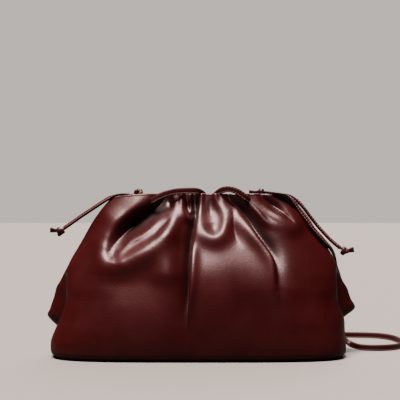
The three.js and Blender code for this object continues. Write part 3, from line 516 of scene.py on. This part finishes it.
# Creases seen from the front: hollows with a sharp bottom, in the columns of the folds. Their bottoms are
# darkened with painted shade.
FRONT_CREASES = [
    ("left loop hollow", -13.0, 8.0, 8.0, 1, 0.2, [(-0.215, 1.02), (-0.25, 0.965), (-0.326, 0.895),
        (-0.419, 0.836), (-0.496, 0.773), (-0.554, 0.707), (-0.581, 0.658)]),
    ("left loop floor", -1.6, 4.0, 4.0, 0, 0, [(-0.185, 0.885), (-0.225, 0.84), (-0.262, 0.795),
        (-0.31, 0.745), (-0.37, 0.7)]),
    ("first small pleat", -3.0, 2.2, 2.6, 1, 0, [(-0.24, 1.01), (-0.213, 0.94), (-0.208, 0.895)]),
    ("pocket hollow", -4.0, 2.6, 2.4, 1, 0, [(-0.104, 1.01), (-0.098, 0.93), (-0.084, 0.88)]),
    ("pocket shadow", -3.4, 1.8, 1.8, 1, 0, [(-0.056, 1.01), (-0.053, 0.895)]),
    ("centre valley", -13.0, 3.6, 10.0, 1, 0, [(-0.042, 1.01), (-0.042, 0.881), (-0.056, 0.761),
        (-0.068, 0.673), (-0.075, 0.586), (-0.08, 0.501), (-0.082, 0.415), (-0.086, 0.33),
        (-0.092, 0.24), (-0.096, 0.15), (-0.098, 0.06)]),
    ("centre loop hollow", -4.4, 8.5, 8.5, 1, 0, [(0.04, 1.01), (0.05, 0.907), (0.064, 0.83)]),
    ("loop gap", -3.2, 4.2, 4.2, 0.2, 0, [(0.162, 0.96), (0.176, 0.88), (0.188, 0.8), (0.208, 0.735),
        (0.245, 0.66)]),
    ("long valley", -9.5, 9.0, 5.0, 1, 0.2, [(0.151, 1.01), (0.19, 0.949), (0.236, 0.913),
        (0.292, 0.85), (0.336, 0.779), (0.385, 0.708), (0.428, 0.642), (0.45, 0.59), (0.46, 0.53),
        (0.464, 0.47), (0.466, 0.43)]),
    ("right loop fold", -1.6, 3.6, 3.6, 1, 0, [(0.29, 1.01), (0.325, 0.95), (0.365, 0.908),
        (0.41, 0.865), (0.46, 0.835), (0.51, 0.805)]),
    ("right loop hollow", -4.6, 5.6, 5.6, 1, 0, [(0.365, 1.01), (0.415, 0.962), (0.468, 0.925),
        (0.525, 0.88)]),
]
# Banks that lean over their crease: the crease, which bank (1 is the one on the left hand of its line, -1
# the other), and how far its crest leans across and up in millimetres.
CREASE_LEANS = [("centre valley", 1, -4.8, 0.0), ("long valley", -1, 3.6, 2.4)]

# Folds seen from behind, in the columns of the folds seen from the front.
BACK_FOLDS = [
    ("back left rim", 4.5, 7.0, 6.0, 1, 0, [(-0.4, 1.0), (-0.52, 0.84), (-0.6, 0.68), (-0.62, 0.5)]),
    ("back left hollow", -7.0, 8.0, 8.0, 1, 0, [(-0.28, 1.02), (-0.36, 0.86), (-0.44, 0.7), (-0.48, 0.5)]),
    ("back left ridge", 4.5, 5.0, 6.0, 1, 0, [(-0.17, 1.0), (-0.2, 0.82), (-0.27, 0.62), (-0.3, 0.42)]),
    ("back middle hollow", -7.0, 7.0, 8.0, 1, 0, [(-0.03, 1.02), (-0.05, 0.82), (-0.09, 0.62), (-0.1, 0.4)]),
    ("back middle ridge", 4.5, 5.0, 6.0, 1, 0, [(0.08, 1.0), (0.09, 0.82), (0.12, 0.6), (0.16, 0.36)]),
    ("back right hollow", -7.5, 8.0, 8.0, 1, 0, [(0.2, 1.02), (0.26, 0.86), (0.36, 0.7), (0.42, 0.5)]),
    ("back right rim", 4.5, 6.0, 7.0, 1, 0, [(0.36, 1.0), (0.46, 0.84), (0.56, 0.68), (0.6, 0.5)]),
]
# Folds seen from the two ends: name, height, width, and the line, whose points are a share of the half
# depth, a share of the height and the fold's strength there.
LEFT_CORNER = [
    ("ear", 12.7, 8.5, [(0, 0.15, 0), (0, 0.235, 1), (0, 0.28, 0.97), (0.01, 0.34, 0.88), (0.02, 0.41, 0.64),
        (0.03, 0.47, 0.3), (0.03, 0.56, 0)]),
    ("tuck", -6.3, 7.0, [(-0.18, 0.52, 0), (-0.22, 0.42, 0.9), (-0.24, 0.3, 1), (-0.16, 0.2, 1),
        (0.04, 0.14, 0.5)]),
    ("back tuck", -4.9, 8.0, [(0.42, 0.54, 0), (0.46, 0.4, 0.8), (0.44, 0.28, 1), (0.34, 0.18, 1),
        (0.2, 0.14, 0.5)]),
]
RIGHT_CORNER = [
    ("ear", 13.7, 8.5, [(0, 0.17, 0), (0, 0.23, 0.36), (0, 0.288, 1), (0.01, 0.34, 0.86), (0.02, 0.405, 0.6),
        (0.03, 0.47, 0.2), (0.03, 0.56, 0)]),
    ("tuck", -6.3, 7.0, [(-0.18, 0.56, 0), (-0.22, 0.46, 0.9), (-0.24, 0.36, 1), (-0.16, 0.25, 1),
        (0.04, 0.19, 0.5)]),
    ("back tuck", -4.9, 8.0, [(0.42, 0.58, 0), (0.46, 0.44, 0.8), (0.44, 0.32, 1), (0.34, 0.22, 1),
        (0.2, 0.18, 0.5)]),
]
CREASE_POWER = 1.25  # 2 is a bell with a round top, 1 a sharp one
FACING = (0.15, 0.5)  # how far a wall has to face a view for that view's folds to fade in
START_FADE, END_FADE = 0.3, 0.5  # shares of a fold's line that its end strengths reach over
FOLD_REACH = 3  # fold widths after which a fold has no height left
LEAN_START_FADE, LEAN_END_FADE = 0.2, 0.4
LEAN_CREST = 1.2  # crease widths from a crease's bottom to its leaning crest
LEAN_FADE = 2.0  # crease widths beyond the crest over which the lean fades
LEAN_REACH = 6
SHADE_DEPTH = 10.0  # of a crease whose bottom gets the full painted shade
SHADE_LEFT, SHADE_RIGHT = 1.1, 0.6  # shares of a crease's widths that get painted shade
ROOM = 0.25  # share of the height below the lip over which the folds shrink to half

# Gathers: fine waves round the lip, with an uneven pitch
GATHER_PITCH = 7.0
GATHER_HEIGHT = 0.7
GATHER_DROP = 14.0
GATHER_FRONT, GATHER_BACK, GATHER_FADE = 0.35, 0.80, 0.25  # shares of the half mouth
GATHER_SHIFT = 1.9  # between the front's waves and the back's, in radians
# Slow drifts of the waves along the lip: size in radians, rate a millimetre, and start in radians
GATHER_DRIFTS = [(1.3, 0.11, 0.4), (0.8, 0.037, 0.0)]

# Rows and columns of the grids
FRONT_COLUMNS, BACK_COLUMNS = 300, 150
EDGE_ROWS, WALL_ROWS, ROLL_ROWS, HEM_ROWS = 8, 185, 10, 9
HEM_GAP = 0.2
INSIDE_FRONT_COLUMNS, INSIDE_BACK_COLUMNS = 200, 120
INSIDE_EDGE_ROWS, INSIDE_WALL_ROWS = 5, 90
INSIDE_TOP = 0.6  # share of the hem's drop at which the flesh side starts
COLUMN_EVENING = 0.5  # 0 for columns even in angle, 1 for columns even along the pouch


def section(column, height):
    """Value of a section column at height shares, on cubics through the rows whose slope at a row is
    that of the chord between its two neighbours."""
    rows = SECTIONS[:, 0]
    values = SECTIONS[:, SECTION_COLUMNS.index(column)]
    low = np.maximum(np.arange(len(rows)) - 1, 0)
    high = np.minimum(np.arange(len(rows)) + 1, len(rows) - 1)
    slopes = (values[high] - values[low]) / (rows[high] - rows[low])
    row = np.clip(np.searchsorted(rows, height, side="left") - 1, 0, len(rows) - 2)
    step = rows[row + 1] - rows[row]
    s = np.clip((height - rows[row]) / step, 0, 1)
    return (
        (1 + 2 * s) * (1 - s) ** 2 * values[row] + s * (1 - s) ** 2 * step * slopes[row]
        + s * s * (3 - 2 * s) * values[row + 1] + s * s * (s - 1) * step * slopes[row + 1]
    )


def smooth_pouch(angle, z):
    """The pouch before its folds. At each height the plan is a rounded outline whose half sizes and
    corner power come from the section table, drawn in near the floor on the base's round edge."""
    height = z / POUCH_HEIGHT
    cos, sin = np.cos(angle), np.sin(angle)
    span_share = np.where(cos < 0, section("left", height), section("right", height))
    depth_share = np.where(sin < 0, section("front", height), section("back", height))
    below = np.maximum(BASE_EDGE - z, 0)
    inset = BASE_EDGE - np.sqrt(np.maximum(BASE_EDGE**2 - below**2, 0))
    span = HALF_MOUTH_SPAN + (HALF_SPAN - HALF_MOUTH_SPAN) * span_share - inset
    depth = HALF_MOUTH_DEPTH + (HALF_DEPTH - HALF_MOUTH_DEPTH) * depth_share - inset
    corner = section("corner", height)
    scale = (np.abs(cos) ** corner + np.abs(sin) ** corner) ** (-1 / corner)
    return np.stack([cos * scale * span, sin * scale * depth, z + 0 * angle], axis=-1)


def smooth_normals(angle, z):
    """Outward normals of the smooth pouch, from two short steps round it and up it."""
    turn, rise = 0.01, 0.5
    around = smooth_pouch(angle + turn, z) - smooth_pouch(angle - turn, z)
    low = np.clip(z - rise, BASE_EDGE, POUCH_HEIGHT - 2 * rise)
    return unit(np.cross(around, smooth_pouch(angle, low + 2 * rise) - smooth_pouch(angle, low)))


def smooth_line(points, fine=5):
    """A fold's line as many short straight steps on a curve through its points, with every column of
    the points carried along."""
    points = np.asarray(points, float)
    ends = np.vstack([2 * points[0] - points[1], points, 2 * points[-1] - points[-2]])
    s = np.linspace(0, 1, fine, endpoint=False)[None, :, None]
    a, b, c, d = ends[:-3, None], ends[1:-2, None], ends[2:-1, None], ends[3:, None]
    curve = 0.5 * (2 * b + (c - a) * s + (2 * a - 5 * b + 4 * c - d) * s**2 + (3 * b - a - 3 * c + d) * s**3)
    return np.vstack([curve.reshape(-1, points.shape[1]), points[-1]])


def nearest_on_line(line, reach, across, up):
    """The mask of the places within reach of a line and, for each of these, the nearest place on the
    line: its distance, how far along the line it is as a fraction of the line's steps, and its side,
    from 1 abreast of the line on its left to -1 on its right, and 0 straight past its ends."""
    low, high = line.min(axis=0) - reach, line.max(axis=0) + reach
    near = (across > low[0]) & (across < high[0]) & (up > low[1]) & (up < high[1])
    across, up = across[near], up[near]
    best = np.full(across.shape, np.inf)
    share, side = np.zeros(across.shape), np.zeros(across.shape)
    steps = len(line) - 1
    for index in range(steps):
        (x, z), (dx, dz) = line[index], line[index + 1] - line[index]
        s = np.clip(((across - x) * dx + (up - z) * dz) / (dx * dx + dz * dz), 0, 1)
        off_x, off_z = across - x - s * dx, up - z - s * dz
        distance = np.hypot(off_x, off_z)
        closer = distance < best
        best = np.where(closer, distance, best)
        share = np.where(closer, (index + s) / steps, share)
        abreast = (dx * off_z - dz * off_x) / (np.hypot(dx, dz) * np.maximum(distance, 1e-9))
        side = np.where(closer, abreast, side)
    return near, best, share, side


def fold_height(fold, across, up, power=2.0):
    """Height that a fold adds at places of its view: a bell of the distance to its line, with one width
    on the line's left and another on its right, changing to its end strengths over the line's last
    parts. A power near 1 turns the bell's round top into a sharp crease."""
    _, height, left, right, start, end, line = fold
    line = smooth_line(line) * [HALF_SPAN, POUCH_HEIGHT]
    near, distance, share, side = nearest_on_line(line, FOLD_REACH * max(left, right), across, up)
    rise = start + (1 - start) * smoothstep(share, 0, START_FADE)
    fall = end + (1 - end) * smoothstep(1 - share, 0, END_FADE)
    width = 0.5 * (left + right) + 0.5 * (left - right) * side
    total = np.zeros_like(across)
    total[near] = height * np.exp(-((distance / width) ** power)) * rise * fall
    return total


def crease_lean(crease, bank, across, up):
    """Share of a crease's lean at places of its view: none at the crease's bottom and on its other
    bank, all at the leaning bank's crest, and fading beyond it."""
    _, _, left, right, _, end, line = crease
    width = left if bank > 0 else right
    line = smooth_line(line) * [HALF_SPAN, POUCH_HEIGHT]
    near, distance, share, side = nearest_on_line(line, LEAN_REACH * width, across, up)
    strength = smoothstep(share, 0, LEAN_START_FADE) * (
        end + (1 - end) * smoothstep(1 - share, 0, LEAN_END_FADE))
    beyond = np.maximum(distance / width - LEAN_CREST, 0)
    carried = smoothstep(distance, 0, LEAN_CREST * width) * np.exp(-(beyond / LEAN_FADE) ** 2)
    total = np.zeros_like(across)
    total[near] = strength * carried * (bank * side > 0)
    return total


def corner_height(fold, across, up):
    """Height of a fold of the corners: a bell of the distance to its line, as strong as the line says."""
    _, height, width, line = fold
    line = smooth_line(line)
    strength = line[:, 2]
    line = line[:, :2] * [HALF_DEPTH, POUCH_HEIGHT]
    near, distance, share, _ = nearest_on_line(line, FOLD_REACH * width, across, up)
    along = np.interp(share * (len(line) - 1), np.arange(len(line)), strength)
    total = np.zeros_like(across)
    total[near] = height * np.exp(-((distance / width) ** 2)) * along
    return total


def all_folds(x, y, z, normal):
    """Height of all folds, creases and corners at places of the smooth pouch, and the painted shade, which
    is 1 deep in a crease and 0 away from all of them."""
    height, shade = np.zeros_like(x), np.zeros_like(x)
    facing = smoothstep(np.abs(normal[..., 1]), *FACING)
    front = np.where(normal[..., 1] < 0, facing, 0)
    back = np.where(normal[..., 1] >= 0, facing, 0)
    for fold in FRONT_FOLDS:
        height += front * fold_height(fold, x, z)
    for crease in FRONT_CREASES:
        height += front * fold_height(crease, x, z, CREASE_POWER)
        name, depth, left, right, start, end, line = crease
        dark = min(-depth / SHADE_DEPTH, 1.0)
        shadow = (name, dark, SHADE_LEFT * left, SHADE_RIGHT * right, start, end, line)
        shade = np.maximum(shade, front * fold_height(shadow, x, z))
    for fold in BACK_FOLDS:
        height += back * fold_height(fold, x, z)
    turned = smoothstep(np.abs(normal[..., 0]), *FACING)
    for end, folds in ((normal[..., 0] < 0, LEFT_CORNER), (normal[..., 0] >= 0, RIGHT_CORNER)):
        for fold in folds:
            height += np.where(end, turned * corner_height(fold, y, z), 0)
    return height, shade


def gathers(x, z, front):
    """Height of the gathers at the lip: waves along x, which die out down the wall and towards the
    mouth's ends."""
    fade = smoothstep(z, POUCH_HEIGHT - GATHER_DROP, POUCH_HEIGHT)
    gathered = np.where(front, GATHER_FRONT, GATHER_BACK) * HALF_MOUTH_SPAN
    ends = 1 - smoothstep(np.abs(x), gathered, gathered + GATHER_FADE * HALF_MOUTH_SPAN)
    drift = sum(size * np.sin(rate * x + start) for size, rate, start in GATHER_DRIFTS)
    wave = np.cos(2 * np.pi * x / GATHER_PITCH + drift + np.where(front, 0, GATHER_SHIFT))
    return GATHER_HEIGHT * fade * ends * wave


def pouch_surface(angle, z):
    """The leather's outer face: the smooth pouch moved out level by its folds and gathers, with its leaning
    banks and the lip's rise and drop. Also gives the level way out and the painted shade of the creases."""
    point = smooth_pouch(angle, z)
    normal = smooth_normals(angle, z)
    x, y = point[..., 0], point[..., 1]
    height, shade = all_folds(x, y, z, normal)
    front = normal[..., 1] < 0
    height += gathers(x, z, front)
    room = smoothstep(POUCH_HEIGHT - z, -ROOM * POUCH_HEIGHT, ROOM * POUCH_HEIGHT)
    grounded = smoothstep(z, 0, 2 * BASE_EDGE)
    level = unit(normal * [1, 1, 0])
    point = point + level * (height * room * grounded)[..., None]
    facing = smoothstep(np.abs(normal[..., 1]), *FACING)
    for name, bank, across, up in CREASE_LEANS:
        crease = next(row for row in FRONT_CREASES if row[0] == name)
        lean = np.where(front, facing * crease_lean(crease, bank, x, z), 0)
        point += lean[..., None] * [across, 0, up]
        z = z + lean * up
    end_share = np.abs(x) / HALF_MOUTH_SPAN
    lift = LIP_LIFT * (1 - smoothstep(end_share, *LIP_LIFT_SPAN))
    drop = LIP_DIP * smoothstep(end_share, *LIP_DIP_SPAN) - lift
    point[..., 2] = z - drop * (z / POUCH_HEIGHT) ** LIP_POWER
    return point, level, shade


def column_angles(front_count, back_count):
    """Angles round the plan, from the right end round the back, the left end and the front."""
    def quarter(count):
        share = np.arange(count) / count
        return (1 - COLUMN_EVENING) * share * np.pi / 2 + COLUMN_EVENING * np.arcsin(share)
    back, front, half = quarter(back_count // 2), quarter(front_count // 2), np.pi / 2
    mirrored_back = np.concatenate([[half], back[1:][::-1]])
    mirrored_front = np.concatenate([[half], front[1:][::-1]])
    return np.concatenate([half - mirrored_back, half + back, 3 * half - mirrored_front, 3 * half + front])


def surface_normals(points):
    """Outward normals of a closed grid of points, from the differences round and up."""
    around = np.roll(points, -1, axis=1) - np.roll(points, 1, axis=1)
    return unit(np.cross(around, np.gradient(points, axis=0)))


def cup_piece(name, rows, middle, material, inwards=False):
    """A cup of closed rows of points from the bottom up, with a fan of faces from its lowest row to a
    middle point. Its faces look outwards, or inwards."""
    count = rows.shape[1]
    points = np.vstack([rows.reshape(-1, 3), middle])
    ring = np.arange(count)
    base = np.stack([np.full(count, len(points) - 1), (ring + 1) % count, ring], axis=1)
    order = slice(None, None, -1 if inwards else 1)
    return mesh_piece(name, points, material, grid_faces(len(rows), count)[:, order], base[:, order])


def pouch_outside():
    """The outer leather, its round lip and the hem turned down inside the mouth, as one grid: rows go
    round the base edge, up the wall, over the lip on a half circle and down the hem."""
    angles = column_angles(FRONT_COLUMNS, BACK_COLUMNS)
    edge = BASE_EDGE * (1 - np.cos(np.linspace(0, np.pi / 2, EDGE_ROWS, endpoint=False)))
    wall = np.linspace(BASE_EDGE, POUCH_HEIGHT - LIP_ROLL, WALL_ROWS)
    wall_points, level, shade = pouch_surface(*np.meshgrid(angles, np.concatenate([edge, wall])))
    rim, inward = wall_points[-1], -level[-1]
    turn = np.linspace(0, np.pi, ROLL_ROWS)[1:, None, None]
    roll = rim + inward * LIP_ROLL * (1 - np.cos(turn)) + np.array([0, 0, LIP_ROLL]) * np.sin(turn)
    down = HEM_DROP * np.linspace(0, 1, HEM_ROWS)[1:]
    hem = np.stack([pouch_surface(angles, np.full_like(angles, POUCH_HEIGHT - drop))[0] for drop in down])
    hem += inward * (2 * LIP_ROLL + HEM_GAP)
    hem[..., 2] = rim[:, 2] - down[:, None]
    rows = np.concatenate([wall_points, roll, hem])
    piece = cup_piece("pouch_outside", rows, [0, 0, 0], pouch_leather)
    # The painted shade of the lip's top row carries on over the roll and the hem.
    turned = np.repeat(shade[-1:], len(roll) + len(hem), axis=0)
    point_attribute(piece, "shade", np.concatenate([shade.ravel(), turned.ravel(), [0]]))
    return piece


def pouch_inside():
    """The flesh side of the leather: the outer face moved in along its normals, from under the hem
    down to the inside of the base."""
    heights = np.concatenate([
        np.linspace(0, BASE_EDGE, INSIDE_EDGE_ROWS, endpoint=False),
        np.linspace(BASE_EDGE, POUCH_HEIGHT - INSIDE_TOP * HEM_DROP, INSIDE_WALL_ROWS)])
    angles = column_angles(INSIDE_FRONT_COLUMNS, INSIDE_BACK_COLUMNS)
    points = pouch_surface(*np.meshgrid(angles, heights))[0]
    points -= LEATHER * surface_normals(points)
    points[..., 2] = np.maximum(points[..., 2], LEATHER)
    return cup_piece("pouch_inside", points, [0, 0, LEATHER], inside_leather, inwards=True)


outside = pouch_outside()
inside = pouch_inside()
fasten(outside, "pouch_leather", "pouch_body")
fasten(inside, "pouch_leather")


# Knots

# Shares of a knot's size: the radius of its wrapped lace, and where the wrap starts and ends
KNOT_RADIUS = 0.31
KNOT_WRAP = (0.30, 0.72)
KNOT_HEART = 0.5
KNOT_TURNS = 1.35
KNOT_START = 0.6  # angle at which the wrap starts, in radians
KNOT_WRAPPING, KNOT_LEAVING = (0.08, 0.2), (0.66, 0.8)  # shares of the path over which the lace turns flat
KNOT_WRAP_STATIONS, KNOT_STATIONS, KNOT_MEAN, KNOT_SIDES = 40, 90, 7, 20
KNOT_CORNER = 3  # power of the knotted lace's rounded outline
KNOT_EDGE = (0.85, 1.0)  # shares of half the lace's width over which its dark edge starts
# Shares of the path, with the lace's half width there as a share of its width, and its half thickness
KNOT_WIDTHS = [(0, 0.40), (0.1, 0.34), (0.2, 0.38), (0.68, 0.38), (0.84, 0.32), (1, 0.52)]
KNOT_THICKNESSES = [(0, 1.2), (0.15, 1.3), (0.7, 1.3), (0.85, 1.2), (1, 1.2)]


def knot(name, route, at_start, size=9.4, tail=5.0, lean=None):
    """A pulled-tight knot: the lace comes in along the axis, wraps round it as a flat band, crosses
    under itself and leaves as a short tail that leans its own way and flares to its cut end. One swept
    strip whose path is worked out in the knot's own axes: out along the cord, and two across it. The
    path is evened out by a running mean."""
    end = route.points[0] if at_start else route.points[-1]
    out = -route.tangents[0] if at_start else route.tangents[-1]
    side = route.widths[0] if at_start else route.widths[-1]
    rise = np.cross(out, side)
    lean = unit(out if lean is None else np.array(lean, float))
    way = np.array([lean @ out, lean @ side, lean @ rise])
    radius = KNOT_RADIUS * size
    turn = KNOT_START + np.linspace(0, 2 * np.pi * KNOT_TURNS, KNOT_WRAP_STATIONS)
    out_along = size * np.linspace(*KNOT_WRAP, KNOT_WRAP_STATIONS)
    wrap = np.stack([out_along, radius * np.cos(turn), radius * np.sin(turn)], axis=1)
    enter = np.array([[0.0, 0.0, 0.0], [0.1 * size, 0.2 * radius, 0.1 * radius]])
    heart = np.array([KNOT_HEART * size, 0, 0])
    leave = heart + np.array([0.3 * size, 0.5 * size + 0.5 * tail, 0.5 * size + tail])[:, None] * way
    path = np.vstack([enter, wrap, leave])
    gaps = np.linalg.norm(np.diff(path, axis=0), axis=1)
    along = np.concatenate([[0], np.cumsum(gaps)])
    places = np.linspace(0, along[-1], KNOT_STATIONS)
    path = resample(places, along, path)
    padded = np.pad(path, ((KNOT_MEAN // 2, KNOT_MEAN // 2), (0, 0)), "edge")
    kernel = np.ones(KNOT_MEAN) / KNOT_MEAN
    path = np.stack([np.convolve(column, kernel, "valid") for column in padded.T], axis=1)
    tangent = unit(np.gradient(path, axis=0))
    share = places / places[-1]
    leaving = smoothstep(share, *KNOT_LEAVING)
    wrapping = smoothstep(share, *KNOT_WRAPPING) * (1 - leaving)
    across = unit((1 - wrapping - leaving)[:, None] * [0, 1, 0] + wrapping[:, None] * [1, 0, 0]
                  + leaving[:, None] * [0, 0.2, 1])
    across = unit(across - np.sum(across * tangent, axis=1, keepdims=True) * tangent)
    normal = np.cross(tangent, across)
    half_width = LACE_WIDTH * np.interp(share, *zip(*KNOT_WIDTHS))
    half_thick = np.interp(share, *zip(*KNOT_THICKNESSES))
    angle = np.arange(KNOT_SIDES) / KNOT_SIDES * 2 * np.pi
    ring = np.stack([np.cos(angle), np.sin(angle)], axis=1)
    ring *= np.sum(np.abs(ring) ** KNOT_CORNER, axis=1, keepdims=True) ** (-1 / KNOT_CORNER)
    rings = (
        path[:, None] + ring[None, :, :1] * half_width[:, None, None] * across[:, None]
        + ring[None, :, 1:] * half_thick[:, None, None] * normal[:, None]
    )
    local = np.concatenate([rings, np.repeat(path[[0, -1], None], KNOT_SIDES, axis=1)])
    placed = end + local[..., :1] * out + local[..., 1:2] * side + local[..., 2:] * rise
    piece = tube_piece(name, placed[:-2], placed[-2, 0], placed[-1, 0], lace_leather)
    mask = np.tile(smoothstep(np.abs(ring[:, 0]), *KNOT_EDGE), len(path))
    point_attribute(piece, "edge", np.concatenate([mask, [0, 0]]))
    last_ring = np.arange(len(path)) == len(path) - 1
    point_attribute(piece, "cut", np.concatenate([np.repeat(last_ring, KNOT_SIDES), [0, 1]]))
    return piece


knot_left = knot("knot_left", left_route, False, lean=(-1, 0, 0.12))
knot_right = knot("knot_right", right_route, False, lean=(1, 0, 0.2))
strap_stop_left = knot("strap_stop_left", strap_route, False, size=7.0, tail=4.0)
strap_stop_right = knot("strap_stop_right", strap_route, True, size=7.5, tail=8.0, lean=(-1, 0, -0.08))
fasten(knot_left, "lace_leather", "drawstring_knot_left")
fasten(knot_right, "lace_leather", "drawstring_knot_right")
fasten(strap_stop_left, "lace_leather", "strap_knot_left")
fasten(strap_stop_right, "lace_leather", "strap_knot_right")


# Floor, light and world

FLOOR_HALF = 6000.0  # millimetres
FLOOR_ROUGHNESS = 0.7
FLOOR_SEEN = (0.26, 0.234, 0.218)
FLOOR_SHINING = (0.03, 0.016, 0.013)
WORLD_COLOUR = (1.0, 0.91, 0.86)
WORLD_SEEN = 0.70
WORLD_SHINING = 0.03


def floor_piece():
    """A plain flat floor. It is pale to the camera and dark to the light that it throws back, so that
    the leather stays dark low down."""
    paint = bpy.data.materials.new("floor_paint")
    paint.use_nodes = True
    tree = paint.node_tree
    shader = tree.nodes["Principled BSDF"]
    shader.inputs["Roughness"].default_value = FLOOR_ROUGHNESS
    path = add_node(tree, "ShaderNodeLightPath")
    colour = add_node(tree, "ShaderNodeMix", data_type="RGBA", A=(*FLOOR_SHINING, 1), B=(*FLOOR_SEEN, 1))
    tree.links.new(path.outputs["Is Camera Ray"], colour.inputs["Factor"])
    tree.links.new(colour.outputs["Result"], shader.inputs["Base Color"])
    corners = FLOOR_HALF * np.array([[-1, -1, 0], [1, -1, 0], [1, 1, 0], [-1, 1, 0]])
    mesh_piece("floor", corners, paint, [[0, 1, 2, 3]])


def sun_light(name, place, spread, power, colour):
    """A wide soft light far away, shining from a place towards the origin. spread is its width in the
    sky in degrees."""
    data = bpy.data.lights.new(name, "SUN")
    data.angle = math.radians(spread)
    data.energy = power
    data.color = colour
    light = bpy.data.objects.new(name, data)
    x, y, z = place
    light.location = place
    light.rotation_euler = (math.atan2(math.hypot(x, y), z), 0, math.atan2(y, x) + math.pi / 2)
    bpy.context.scene.collection.objects.link(light)


def studio_world():
    """A plain pale surround, brighter behind the object than the light that it throws on it."""
    world = bpy.data.worlds.new("studio")
    world.use_nodes = True
    tree = world.node_tree
    back = tree.nodes["Background"]
    back.inputs["Color"].default_value = (*WORLD_COLOUR, 1)
    path = add_node(tree, "ShaderNodeLightPath")
    strength = add_node(tree, "ShaderNodeMapRange", To_Min=WORLD_SHINING, To_Max=WORLD_SEEN)
    tree.links.new(path.outputs["Is Camera Ray"], strength.inputs["Value"])
    tree.links.new(strength.outputs["Result"], back.inputs["Strength"])
    bpy.context.scene.world = world


floor_piece()
sun_light("key", (-0.20, -0.27, 1.25), spread=26.0, power=11.0, colour=(1.0, 0.89, 0.83))
sun_light("back", (0.20, 0.90, 0.85), spread=40.0, power=1.8, colour=(1.0, 0.94, 0.90))
studio_world()
